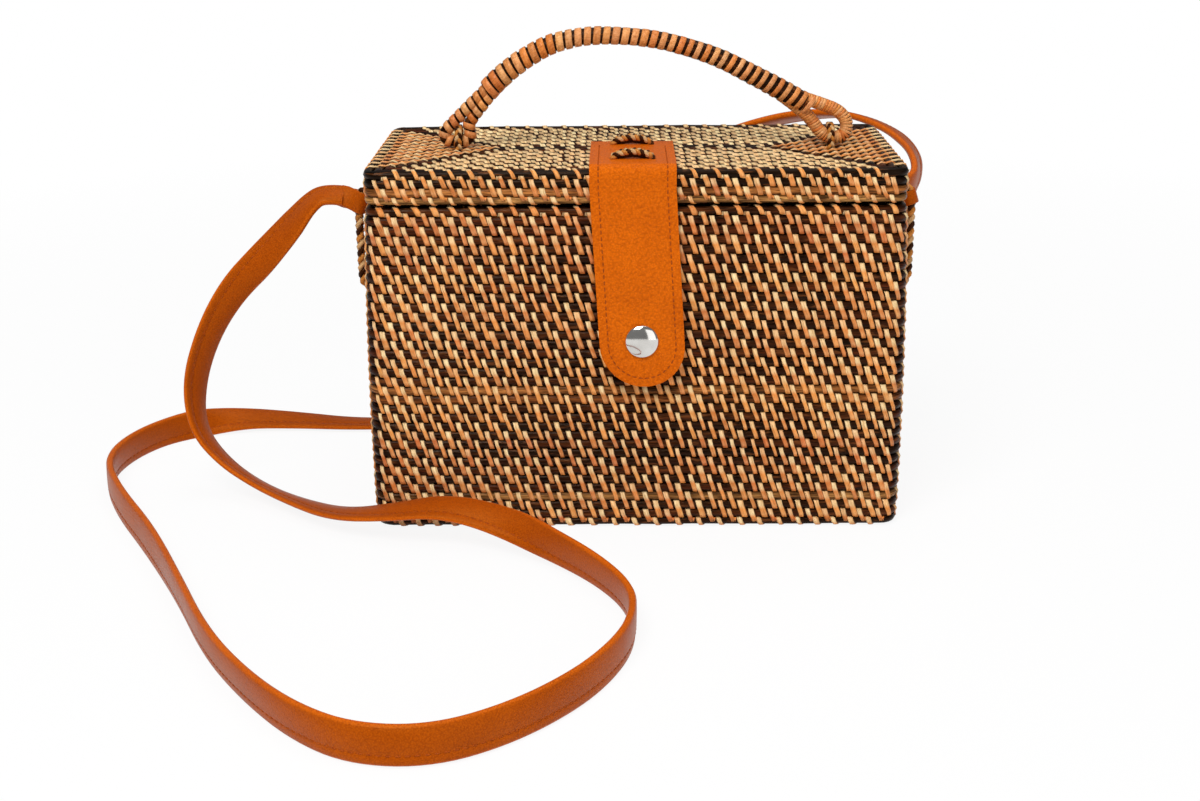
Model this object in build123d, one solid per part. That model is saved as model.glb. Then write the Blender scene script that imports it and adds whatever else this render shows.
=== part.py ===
"""Woven rattan box bag: coiled basket, hinged lid, wrapped handle, leather flap and shoulder strap.

Millimetres, +Z up, front towards -Y, origin at the middle of the base.
"""
import os
from math import cos, radians, sin, tan

from build123d import *

# Box
RIM_WIDTH = 209.0
DEPTH = 100.0
BODY_HEIGHT = 132.0
LID_HEIGHT = 14.0
WALL = 4.0
FLOOR = 4.0
LID_TOP = 4.0
CORNER_RADIUS = 6.0
CORNER_FACETS = 2
BASE_FLARE = 1.8
WALL_BULGE = 1.0
PARTING_GAP = 0.3

# Coils of the weave
COIL_PITCH = 3.77
COIL_RELIEF = 1.4
COIL_CREST_SHARE = 0.45

# Braided loops for the strap, on the end walls
LOOP_RADIUS = 2.4
LOOP_DROP = 3.5
LOOP_LENGTH = 40.5
LOOP_REACH = 9.0
LOOP_BEND = 8.5

# Lashings that hinge the lid
HINGE_OFFSET = 0.5
TIE_SPREAD = 112.0
TIE_WIDTH = 6.0
TIE_RADIUS = 5.9
TIE_THICKNESS = 1.0
TIE_PLAY = 0.35

# Handle and its rings
HANDLE_SPAN = 150.0
HANDLE_SHIFT = 4.0
HANDLE_RISE = 36.8
CORE_RADIUS = 3.3
WRAP_RADIUS = 4.3
WRAP_BAND = 3.0
WRAP_PITCH = 3.8
WRAP_PLAY = 0.05
EYE_RADIUS = 4.7
EYE_STRAND = 2.3
RING_RADIUS = 5.0
RING_STRAND = 1.8
EYE_PLAY = 0.3
PIVOT_RISE = 3.0
HANDLE_PATH_SHARES = (
    (-0.477, 0.125),
    (-0.340, 0.770),
    (-0.187, 0.980),
    (0.067, 1.0),
    (0.467, 0.072),
)

# Leather flap
LEATHER = 2.2
FLAP_WIDTH = 33.0
FLAP_SHIFT = -1.0
FLAP_REAR = -2.5
FLAP_BEND = 1.0
FLAP_DROP = 7.0
FLAP_GAP = 0.3
FLAP_LAY = 0.15
TONGUE_LENGTH = 77.0
SNAP_DROP = 58.8
FLAP_SKEW = 3.2
FLAP_SLOPE = 4.0
BRAID_RADIUS = 2.1
BRAID_LENGTH = 15.0
BRAID_FRONT = -38.5
BRAID_REAR = -8.5
BRAID_BEND = 3.5

# Snap fastener
CAP_RADIUS = 6.4
CAP_RIM = 0.7
CAP_RISE = 2.3
RIVET_RADIUS = 1.5
SOCKET_RADIUS = 5.4
SOCKET_THICKNESS = 1.5
STUD_RADIUS = 2.2
STUD_PLAY = 0.15
STUD_FLANGE = 0.9
RIVET_LENGTH = 5.6
RIVET_HEAD = 0.8

# Shoulder strap
STRAP_WIDTH = 13.0
STRAP_THICKNESS = 3.0
EYE_LEATHER = 1.6
EYE_TAB = 8.0
EYE_RUN = 7.0
EYE_ANGLE = 18.0

# Middle line of the strap between its two eyes, from the left loop round the front to the right loop
STRAP_ROUTE = (
    (-135.0, -0.8, 125.0),
    (-143.5, -1.5, 115.5),
    (-154.0, -2.5, 102.5),
    (-167.0, -3.5, 87.0),
    (-179.0, -4.5, 69.5),
    (-187.0, -5.5, 48.0),
    (-187.0, -7.5, 27.0),
    (-176.0, -12.0, 13.0),
    (-158.5, -20.5, 8.0),
    (-139.0, -36.0, 8.0),
    (-119.0, -54.0, 9.6),
    (-98.0, -62.8, 11.0),
    (-77.0, -65.5, 10.6),
    (-55.0, -71.5, 8.4),
    (-34.0, -88.0, 6.9),
    (-15.5, -110.0, 6.6),
    (-1.0, -131.0, 6.6),
    (4.0, -153.0, 6.6),
    (-4.0, -177.0, 6.6),
    (-20.0, -199.0, 6.6),
    (-41.0, -219.5, 6.6),
    (-64.0, -232.5, 6.6),
    (-89.0, -231.5, 6.6),
    (-110.0, -217.0, 6.6),
    (-130.0, -193.5, 6.6),
    (-150.0, -163.0, 6.6),
    (-171.0, -123.0, 6.6),
    (-192.0, -79.0, 6.6),
    (-214.0, -38.0, 6.6),
    (-229.5, -3.0, 6.6),
    (-226.5, 27.0, 6.6),
    (-211.5, 51.0, 6.6),
    (-188.0, 65.5, 6.6),
    (-160.0, 68.0, 6.6),
    (-132.0, 66.0, 6.6),
    (-104.0, 67.0, 6.6),
    (-77.0, 71.0, 6.8),
    (-51.0, 76.5, 8.5),
    (-27.0, 82.5, 15.0),
    (-9.0, 88.0, 33.0),
    (0.0, 92.5, 57.0),
    (6.0, 96.5, 81.0),
    (15.0, 101.0, 104.0),
    (32.0, 106.0, 122.0),
    (55.0, 108.5, 134.0),
    (78.0, 104.0, 140.5),
    (98.0, 90.0, 143.0),
    (113.5, 71.0, 143.5),
    (119.5, 53.0, 141.5),
    (120.0, 38.5, 136.5),
    (117.0, 29.5, 130.0),
    (113.6, 22.0, 124.8),
)

# Values that follow from the sizes above
RIM = BODY_HEIGHT
LID_BASE = RIM + PARTING_GAP
LID_FACE = RIM + LID_HEIGHT
SIDE = RIM_WIDTH / 2
FRONT = DEPTH / 2
HINGE_Y = FRONT + HINGE_OFFSET
HINGE_Z = RIM + PARTING_GAP / 2
PIVOT_Z = LID_FACE + PIVOT_RISE
EYE_Z = PIVOT_Z + RING_RADIUS - (EYE_RADIUS - EYE_STRAND - RING_STRAND - EYE_PLAY)
FLAP_FACE = -(FRONT + FLAP_LAY + LEATHER)
FLAP_AXIS_Z = LID_FACE - FLAP_DROP
LOOP_HIGH = RIM - LOOP_DROP
LOOP_LOW = LOOP_HIGH - LOOP_LENGTH
STRAND_SIDES = 8
BEND_FACETS = 3
EYE_FACETS = 16
STRAP_SIDES = 6


def wall_set(z):
    """How far the wall stands outside the rim's outline at a height."""
    t = z / BODY_HEIGHT
    return BASE_FLARE * (1 - t) + WALL_BULGE * 4 * t * (1 - t)


def ridges(height, rows, reach):
    """Outline points of a stack of coils, valley to crest to valley, as (outwards, up)."""
    pitch = height / rows
    crest = pitch * COIL_CREST_SHARE / 2
    points = [(reach(0) - COIL_RELIEF, 0)]
    for row in range(rows):
        middle = (row + 0.5) * pitch
        top = (row + 1) * pitch
        points.append((reach(middle), middle - crest))
        points.append((reach(middle), middle + crest))
        points.append((reach(top) - COIL_RELIEF, top))
    return points


def box_outline(reach):
    """Corner points of the box outline moved outwards, its round corners in flat facets."""
    points = []
    for turn, (x, y) in enumerate(((1, -1), (1, 1), (-1, 1), (-1, -1))):
        for step in range(CORNER_FACETS + 1):
            angle = radians(90 * (turn - 1 + step / CORNER_FACETS))
            points.append((
                x * (SIDE - CORNER_RADIUS) + (CORNER_RADIUS + reach) * cos(angle),
                y * (FRONT - CORNER_RADIUS) + (CORNER_RADIUS + reach) * sin(angle),
            ))
    return points


def box_plan(reach):
    return make_face(Polyline(box_outline(reach), close=True))


def wound_wall(section, base):
    """A wall with this section carried round the box outline, from a height upwards."""
    rings = [[(x, y, base + z) for x, y in box_outline(reach)] for reach, z in section]
    faces = []
    for low, high in zip(rings, rings[1:] + rings[:1]):
        for i in range(len(low)):
            faces.append(Face(Wire.make_polygon([low[i - 1], low[i], high[i], high[i - 1]])))
    return Solid(Shell(faces))


def bent(points, radius):
    """A line through these points with each corner turned in short straight facets."""
    line = [Vector(*points[0])]
    for before, corner, after in zip(points, points[1:], points[2:]):
        corner = Vector(*corner)
        back = (Vector(*before) - corner).normalized()
        ahead = (Vector(*after) - corner).normalized()
        half = radians(180 - back.get_angle(ahead)) / 2
        inward = (back + ahead).normalized()
        centre = corner + inward * (radius / cos(half))
        sideways = (ahead - back).normalized()
        for step in range(BEND_FACETS + 1):
            angle = half * (2 * step / BEND_FACETS - 1)
            line.append(centre - inward * (radius * cos(angle)) + sideways * (radius * sin(angle)))
    line.append(Vector(*points[-1]))
    return Polyline(line)


def strand(path, radius):
    """A cane or braid of even thickness along a line of straight facets."""
    start = Plane(path @ 0, z_dir=path % 0)
    return sweep(start * RegularPolygon(radius, STRAND_SIDES), path, transition=Transition.RIGHT)


def turned(points, axis_plane):
    """A turned piece: half section points (radius, along the axis) spun about the plane's normal."""
    half = make_face(Polyline([(r, 0, h) for r, h in points], close=True))
    return axis_plane.location * revolve(half, Axis.Z)


# Basket: coiled walls and floor
body_rows = round(BODY_HEIGHT / COIL_PITCH)
body_outline = ridges(BODY_HEIGHT, body_rows, wall_set)
body_outline += [(-WALL, BODY_HEIGHT), (BASE_FLARE - WALL, 0)]
floor = extrude(box_plan(BASE_FLARE - WALL / 2), FLOOR)
basket_shell = wound_wall(body_outline, 0).fuse(floor)

# Lid: coiled skirt and a top coiled round and round to a middle line
skirt_height = LID_HEIGHT - PARTING_GAP
lid_rows = round(LID_HEIGHT / COIL_PITCH)
lid_outline = ridges(skirt_height, lid_rows, lambda z: 0)
lid_outline += [(-WALL, skirt_height), (-WALL, 0)]
skirt = wound_wall(lid_outline, LID_BASE)

half_x = SIDE - WALL
half_y = FRONT - WALL
top_rows = round(half_y / COIL_PITCH)
top_pitch = half_y / top_rows
top_outline = [(0, LID_FACE - LID_TOP), (0, LID_FACE - COIL_RELIEF)]
for row in range(top_rows):
    middle = (row + 0.5) * top_pitch
    crest = top_pitch * COIL_CREST_SHARE / 2
    top_outline.append((middle - crest, LID_FACE))
    top_outline.append((middle + crest, LID_FACE))
    top_outline.append(((row + 1) * top_pitch, LID_FACE - COIL_RELIEF))
top_outline.append((half_y, LID_FACE - LID_TOP))
top_section = make_face(Polyline([(u, 0, z) for u, z in top_outline], close=True))
end_block = extrude(top_section, half_y, dir=(0, 1, 0), both=True)
long_block = extrude(top_section, half_x, dir=(0, 1, 0), both=True)
ridge_end = half_x - half_y
end_sector = Polyline((0, 0), (half_y, half_y), (half_y, -half_y), close=True)
long_sector = Polyline(
    (0, ridge_end), (half_y, half_x), (half_y, -half_x), (0, -ridge_end), close=True
)
end_top = end_block & extrude(make_face(end_sector), LID_FACE)
long_top = long_block & extrude(make_face(long_sector), LID_FACE)
lid_plan = extrude(box_plan(-WALL), LID_FACE)
lid_top = (Pos(ridge_end, 0, 0) * end_top).fuse(
    Pos(-ridge_end, 0, 0) * Rot(0, 0, 180) * end_top,
    Rot(0, 0, 90) * long_top,
    Rot(0, 0, -90) * long_top,
)
lid_shell = skirt.fuse(lid_top & lid_plan)

# Braided strap loops: each passes through the end wall at both ends
loops = []
for side in (-1, 1):
    inner = SIDE - WALL + BASE_FLARE
    outer = SIDE + LOOP_REACH
    corners = (
        (side * inner, 0, LOOP_LOW),
        (side * outer, 0, LOOP_LOW),
        (side * outer, 0, LOOP_HIGH),
        (side * inner, 0, LOOP_HIGH),
    )
    loops.append(strand(bent(corners, LOOP_BEND), LOOP_RADIUS))
strap_loop_left, strap_loop_right = loops

# Lashings of the lid hinge: rings round the hinge axis, through both walls
def lashing(x, play):
    place = Plane((x, HINGE_Y, HINGE_Z), x_dir=(0, 1, 0), z_dir=(1, 0, 0))
    section = Circle(TIE_RADIUS + play) - Circle(TIE_RADIUS - TIE_THICKNESS - play)
    return extrude(place * section, TIE_WIDTH / 2 + play, both=True)


hinge_tie_left = lashing(-TIE_SPREAD / 2, 0)
hinge_tie_right = lashing(TIE_SPREAD / 2, 0)

# Rings on the lid that the handle's eyes slide on
left_eye_x = HANDLE_SHIFT - HANDLE_SPAN / 2
right_eye_x = HANDLE_SHIFT + HANDLE_SPAN / 2


def handle_ring(x):
    foot = LID_FACE - LID_TOP
    crown = PIVOT_Z + RING_RADIUS
    corners = (
        (x, -RING_RADIUS, foot),
        (x, -RING_RADIUS, crown),
        (x, RING_RADIUS, crown),
        (x, RING_RADIUS, foot),
    )
    return strand(bent(corners, RING_RADIUS), RING_STRAND)


handle_ring_left = handle_ring(left_eye_x)
handle_ring_right = handle_ring(right_eye_x)

# Handle: bent cane with an eye at each end, bound with a strip in even turns
grip_points = [
    (HANDLE_SHIFT + u * HANDLE_SPAN, 0, EYE_Z + v * HANDLE_RISE) for u, v in HANDLE_PATH_SHARES
]


def bend_radii(points):
    """The largest arc that each corner's two runs allow."""
    radii = []
    for before, corner, after in zip(points, points[1:], points[2:]):
        run_in = Vector(*corner) - Vector(*before)
        run_out = Vector(*after) - Vector(*corner)
        shorter = min(run_in.length, run_out.length)
        radii.append(0.45 * shorter / tan(radians(run_in.get_angle(run_out)) / 2))
    return radii


grip_path = FilletPolyline(*grip_points, radius=bend_radii(grip_points))
bind_start = 2 * EYE_STRAND
bind_length = grip_path.length - 2 * bind_start
turns = int(bind_length / WRAP_PITCH)
joints = [bind_start + turn * bind_length / turns for turn in range(turns + 1)]
stations = [0] + joints + [grip_path.length]
grip_line = Polyline([grip_path @ (place / grip_path.length) for place in stations])
grip = strand(grip_line, CORE_RADIUS)


def cane_eye(x):
    angles = [radians(360 * step / EYE_FACETS) for step in range(EYE_FACETS)]
    corners = [(x + EYE_RADIUS * cos(a), 0, EYE_Z + EYE_RADIUS * sin(a)) for a in angles]
    return strand(Polyline(corners, close=True), EYE_STRAND)


handle_core = grip.fuse(cane_eye(left_eye_x), cane_eye(right_eye_x))

band_outer = RegularPolygon(WRAP_RADIUS, STRAND_SIDES)
band_inner = RegularPolygon(CORE_RADIUS + WRAP_PLAY, STRAND_SIDES, major_radius=False)
band = extrude(band_outer - band_inner, WRAP_BAND / 2, both=True)
bands = []
for start, end in zip(grip_line.vertices()[1:-1], grip_line.vertices()[2:-1]):
    low, high = Vector(*start), Vector(*end)
    bands.append(Plane((low + high) / 2, x_dir=(0, 1, 0), z_dir=high - low).location * band)
handle_wrap = Compound(children=bands)

# Leather flap: fixed on the lid, over its front edge, and hanging in front
flap_side = FLAP_SHIFT - FLAP_WIDTH / 2
bend_y = -(FRONT + FLAP_LAY) + FLAP_BEND
bend_z = LID_FACE - FLAP_BEND
edge = FLAP_BEND + LEATHER
anchor_outline = [
    Line((FLAP_REAR, LID_FACE), (FLAP_REAR, LID_FACE + LEATHER)),
    Line((FLAP_REAR, LID_FACE + LEATHER), (bend_y, LID_FACE + LEATHER)),
    ThreePointArc(
        (bend_y, LID_FACE + LEATHER),
        (bend_y - edge * sin(radians(45)), bend_z + edge * cos(radians(45))),
        (FLAP_FACE, bend_z),
    ),
    Line((FLAP_FACE, bend_z), (FLAP_FACE, FLAP_AXIS_Z)),
    Line((FLAP_FACE, FLAP_AXIS_Z), (FLAP_FACE + LEATHER, FLAP_AXIS_Z)),
    Line((FLAP_FACE + LEATHER, FLAP_AXIS_Z), (FLAP_FACE + LEATHER, bend_z)),
    ThreePointArc(
        (FLAP_FACE + LEATHER, bend_z),
        (bend_y - FLAP_BEND * sin(radians(45)), bend_z + FLAP_BEND * cos(radians(45))),
        (bend_y, LID_FACE),
    ),
    Line((bend_y, LID_FACE), (FLAP_REAR, LID_FACE)),
]
anchor_plane = Plane((flap_side, 0, 0), x_dir=(0, 1, 0), z_dir=(1, 0, 0))
flap_anchor = extrude(anchor_plane * make_face(anchor_outline), FLAP_WIDTH)

# Braided ties through the leather and the lid
def flap_tie(y):
    foot = LID_FACE - LID_TOP
    crown = LID_FACE + LEATHER + BRAID_RADIUS
    corners = (
        (FLAP_SHIFT - BRAID_LENGTH / 2, y, foot),
        (FLAP_SHIFT - BRAID_LENGTH / 2, y, crown),
        (FLAP_SHIFT + BRAID_LENGTH / 2, y, crown),
        (FLAP_SHIFT + BRAID_LENGTH / 2, y, foot),
    )
    return strand(bent(corners, BRAID_BEND), BRAID_RADIUS)


flap_tie_front = flap_tie(BRAID_FRONT)
flap_tie_rear = flap_tie(BRAID_REAR)

# Hanging part of the flap and the snap fastener, laid out upright and then sloped about the fold
tip_shift = tan(radians(FLAP_SKEW))
straight = TONGUE_LENGTH - FLAP_WIDTH / 2
low_left = (flap_side + straight * tip_shift, -straight)
low_right = (low_left[0] + FLAP_WIDTH, -straight)
tip = (FLAP_SHIFT + TONGUE_LENGTH * tip_shift, -TONGUE_LENGTH)
tongue_outline = [
    Line((flap_side, -FLAP_GAP), (flap_side + FLAP_WIDTH, -FLAP_GAP)),
    Line((flap_side + FLAP_WIDTH, -FLAP_GAP), low_right),
    ThreePointArc(low_right, tip, low_left),
    Line(low_left, (flap_side, -FLAP_GAP)),
]
tongue_plane = Plane((0, FLAP_FACE, FLAP_AXIS_Z), x_dir=(1, 0, 0), z_dir=(0, -1, 0))
fold = Axis((0, FLAP_FACE, FLAP_AXIS_Z), (1, 0, 0))
snap_x = FLAP_SHIFT + SNAP_DROP * tip_shift
snap_front = Plane((snap_x, FLAP_FACE, FLAP_AXIS_Z - SNAP_DROP), z_dir=(0, -1, 0))
flap_back = -LEATHER
stud_seat = flap_back - SOCKET_THICKNESS - STUD_PLAY
cap_points = [
    (0, flap_back),
    (RIVET_RADIUS, flap_back),
    (RIVET_RADIUS, 0),
    (CAP_RADIUS, 0),
    (CAP_RADIUS, CAP_RIM),
    (CAP_RADIUS * cos(radians(45)), CAP_RIM + (CAP_RISE - CAP_RIM) * sin(radians(45))),
    (0, CAP_RISE),
]
socket_points = [
    (STUD_RADIUS + STUD_PLAY, flap_back - SOCKET_THICKNESS),
    (SOCKET_RADIUS, flap_back - SOCKET_THICKNESS),
    (SOCKET_RADIUS, flap_back),
    (STUD_RADIUS + STUD_PLAY, flap_back),
]
stud_points = [
    (0, stud_seat - STUD_FLANGE),
    (SOCKET_RADIUS, stud_seat - STUD_FLANGE),
    (SOCKET_RADIUS, stud_seat),
    (STUD_RADIUS, stud_seat),
    (STUD_RADIUS, flap_back - STUD_PLAY),
    (0, flap_back - STUD_PLAY),
]
rivet_top = stud_seat - STUD_FLANGE
rivet_foot = rivet_top - RIVET_LENGTH
post_points = [
    (0, rivet_foot),
    (SOCKET_RADIUS, rivet_foot),
    (SOCKET_RADIUS, rivet_foot + RIVET_HEAD),
    (RIVET_RADIUS, rivet_foot + RIVET_HEAD),
    (RIVET_RADIUS, rivet_top),
    (0, rivet_top),
]
snap_cap = turned(cap_points, snap_front)
tongue = extrude(tongue_plane * make_face(tongue_outline), -LEATHER) - snap_cap
flap_tongue = tongue.rotate(fold, -FLAP_SLOPE)
snap_cap = snap_cap.rotate(fold, -FLAP_SLOPE)
snap_socket = turned(socket_points, snap_front).rotate(fold, -FLAP_SLOPE)
snap_stud = turned(stud_points, snap_front).rotate(fold, -FLAP_SLOPE)
snap_post = turned(post_points, snap_front).rotate(fold, -FLAP_SLOPE)

# Strap: a sewn eye on each loop and the free length between them
corner_x = SIDE + LOOP_REACH - LOOP_BEND
corner_z = LOOP_HIGH - LOOP_BEND
rise = radians(EYE_ANGLE)
eye_x = corner_x + LOOP_BEND * cos(rise)
eye_z = corner_z + LOOP_BEND * sin(rise)


def strap_eye(side, away, loop):
    place = Plane(
        (side * eye_x, 0, eye_z), x_dir=away, z_dir=(-side * sin(rise), 0, cos(rise))
    )
    plan = RegularPolygon(LOOP_RADIUS + EYE_LEATHER, EYE_FACETS) + Pos(EYE_TAB / 2, 0) * Rectangle(
        EYE_TAB, STRAP_THICKNESS
    )
    return extrude(place * plan, STRAP_WIDTH / 2, both=True) - loop


left_away = (-cos(rise), 0, sin(rise))
right_away = (0, 1, 0)
strap_eye_left = strap_eye(-1, left_away, strap_loop_left)
strap_eye_right = strap_eye(1, right_away, strap_loop_right)

left_eye = Vector(-eye_x, 0, eye_z)
right_eye = Vector(eye_x, 0, eye_z)
route = [left_eye + Vector(*left_away) * reach for reach in (EYE_TAB, EYE_TAB + EYE_RUN)]
route += [Vector(*point) for point in STRAP_ROUTE]
route += [right_eye + Vector(*right_away) * reach for reach in (EYE_TAB + EYE_RUN, EYE_TAB)]
strap_points = [tuple(point) for point in route]
strap_radii = bend_radii(strap_points)
strap_path = FilletPolyline(*strap_points, radius=strap_radii)
strap_start = Plane(strap_path @ 0, z_dir=strap_path % 0)
strap_section = RegularPolygon(STRAP_WIDTH / 2, STRAP_SIDES)
shoulder_strap = sweep(strap_start * strap_section, strap_path)
print("strap length", round(strap_path.length, 1))
print("bend radii", [round(radius, 1) for radius in strap_radii])
print("volume over section times length", shoulder_strap.volume / (strap_section.area * strap_path.length))

# Seats: each piece that goes through a wall takes its own room out of it
basket_shell = basket_shell.cut(
    strap_loop_left, strap_loop_right, hinge_tie_left, hinge_tie_right, snap_stud, snap_post
)
lid_shell = lid_shell.cut(
    handle_ring_left,
    handle_ring_right,
    flap_tie_front,
    flap_tie_rear,
    lashing(-TIE_SPREAD / 2, TIE_PLAY),
    lashing(TIE_SPREAD / 2, TIE_PLAY),
)
flap_anchor = flap_anchor.cut(flap_tie_front, flap_tie_rear)

PARTS = {
    "basket_shell": basket_shell,
    "lid_shell": lid_shell,
    "strap_loop_left": strap_loop_left,
    "strap_loop_right": strap_loop_right,
    "hinge_tie_left": hinge_tie_left,
    "hinge_tie_right": hinge_tie_right,
    "handle_ring_left": handle_ring_left,
    "handle_ring_right": handle_ring_right,
    "handle_core": handle_core,
    "handle_wrap": handle_wrap,
    "flap_anchor": flap_anchor,
    "flap_tongue": flap_tongue,
    "flap_tie_front": flap_tie_front,
    "flap_tie_rear": flap_tie_rear,
    "snap_cap": snap_cap,
    "snap_socket": snap_socket,
    "snap_stud": snap_stud,
    "snap_post": snap_post,
    "strap_eye_left": strap_eye_left,
    "strap_eye_right": strap_eye_right,
    "shoulder_strap": shoulder_strap,
}

os.makedirs("parts", exist_ok=True)
for name, shape in PARTS.items():
    export_step(shape, f"parts/{name}.step")
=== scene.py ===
"""Dresses the woven box bag: rattan weave, wrapped handle, leather flap, snap and shoulder strap."""

from collections import namedtuple
from math import cos, pi, radians, sin, sqrt, tan

import bpy
import numpy as np
from mathutils import Matrix, Vector


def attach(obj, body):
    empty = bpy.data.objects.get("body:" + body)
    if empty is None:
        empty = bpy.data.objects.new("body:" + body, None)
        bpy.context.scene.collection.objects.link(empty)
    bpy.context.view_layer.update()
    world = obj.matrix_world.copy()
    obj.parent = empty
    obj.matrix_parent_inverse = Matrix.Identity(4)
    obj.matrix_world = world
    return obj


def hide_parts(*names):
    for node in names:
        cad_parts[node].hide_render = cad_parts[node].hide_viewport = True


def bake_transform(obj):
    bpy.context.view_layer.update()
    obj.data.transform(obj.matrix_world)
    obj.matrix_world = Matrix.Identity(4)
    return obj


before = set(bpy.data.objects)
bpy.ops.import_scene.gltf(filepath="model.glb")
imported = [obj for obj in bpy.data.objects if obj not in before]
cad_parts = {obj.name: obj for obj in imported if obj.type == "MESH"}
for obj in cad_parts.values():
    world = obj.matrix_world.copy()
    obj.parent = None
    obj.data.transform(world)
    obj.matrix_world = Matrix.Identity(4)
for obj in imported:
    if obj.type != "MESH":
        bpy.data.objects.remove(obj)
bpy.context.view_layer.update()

bl_info = {
    "name": "Woven Box Bag",
    "version": (1, 0, 0),
    "blender": (4, 5, 0),
    "location": "View3D > Sidebar > Box Bag",
    "description": "Builds a coiled rattan box bag over its solid model",
    "category": "Object",
}

MM = 0.001

# Box and lid
HALF_X = 104.5 * MM
HALF_Y = 50.0 * MM
CORNER = 6.0 * MM
BODY_HEIGHT = 132.0 * MM
BASE_FLARE = 1.8 * MM
WALL_BULGE = 1.0 * MM
LID_BASE = 132.3 * MM
LID_FACE = 146.0 * MM

# Sides of the box seen from outside: direction to the right, outward direction, half length, half distance
SIDES = (
    ((1, 0, 0), (0, -1, 0), HALF_X, HALF_Y),
    ((0, 1, 0), (1, 0, 0), HALF_Y, HALF_X),
    ((-1, 0, 0), (0, 1, 0), HALF_X, HALF_Y),
    ((0, -1, 0), (-1, 0, 0), HALF_Y, HALF_X),
)

# A rod of the weave: place outwards from the wall's face, height, the way it faces, radius and tone
Rod = namedtuple("Rod", "away up out radius tone")

# Rows of the weave from the base up, as tones on the scale from black through brown to tan
ROD_TONES = (
    0.05, 0.30, 0.10, 0.85, 0.35, 0.08, 0.25, 0.12, 0.05, 0.30, 0.15, 0.08,
    0.35, 0.20, 0.60, 0.80, 0.30, 0.15, 0.10, 0.35, 0.12, 0.22, 0.08, 0.30,
    0.25, 0.10, 0.38, 0.15, 0.45, 0.08, 0.32, 0.40, 0.36, 0.42, 0.50,
)
SKIRT_TONES = (0.9, 0.84, 0.02, 0.0)
TOP_TONES = (0.05, 0.35, 0.14)
ROD_TINT = np.array((1.2, 0.9, 0.75))
STRIP_TINT = np.array((1.0, 0.92, 0.8))
FLAT_ROWS = 12
FLAT_PITCH = (HALF_Y - 4.0 * MM) / FLAT_ROWS
WALL_SINK = 0.3 * MM
FLOOR_SINK = 0.4 * MM
TOP_SINK = 0.42 * MM
BASE_ROW_LIFT = 0.35 * MM
BASE_ROW_SHARE = 0.9
TOP_ROW_DROP = 0.3 * MM
TOP_ROW_SHARE = 0.88
SKIRT_SHARE = 0.92
SKIRT_ROW_LIFT = 0.3 * MM
SKIRT_ROW_SHARE = 0.85
LID_EDGE_DROP = 0.25 * MM
RIM_INSET_SHARE = 1.5
RIM_SHIFT = 0.15 * MM
RING_STEPS = (14, 8, 14, 8)
RING_SEAM = 28
RING_LEAST_TURN = 1.2 * MM
ROD_WAVE = 0.08 * MM
ROD_WAVE_LIMIT = 0.12 * MM

# Strips: pitch of their columns, lift and edge in millimetres, then reach, play and shares along a strip
COLUMN_PITCH = 3.4
COLUMN_SPREAD = 1.0
COLUMN_EXTRA = 0.1
STRIP_LIFT = 0.06
STRIP_EDGE = 0.5
COLUMN_OVERRUN = 3 * MM
STRIP_END = 0.8 * MM
STRIP_PLAY = 0.25 * MM
STRIP_FLOOR = 0.02 * MM
FLAT_STRIP_SCALE = 1.1
FLAT_SLANT_SCALE = 1.35
END_STRIP_SCALE = 0.95
CORNER_LEAST_TURN = 0.4 * MM
CORNER_ANGLE = 1.2
GROOVE_SHARE = 0.25
STRIP_SHARES = np.array([0.0, 0.13, 0.27, 0.5, 0.73, 0.87, 1.0])
STRIP_WIDTHS = (0.82, 0.95, 1.0, 1.08, 1.2)
STRIP_WIDTH_ODDS = (0.14, 0.3, 0.3, 0.18, 0.08)
STRIP_TONES = (0.25, 0.5, 0.75, 1.0)
STRIP_TONE_ODDS = (0.2, 0.35, 0.3, 0.15)

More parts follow.
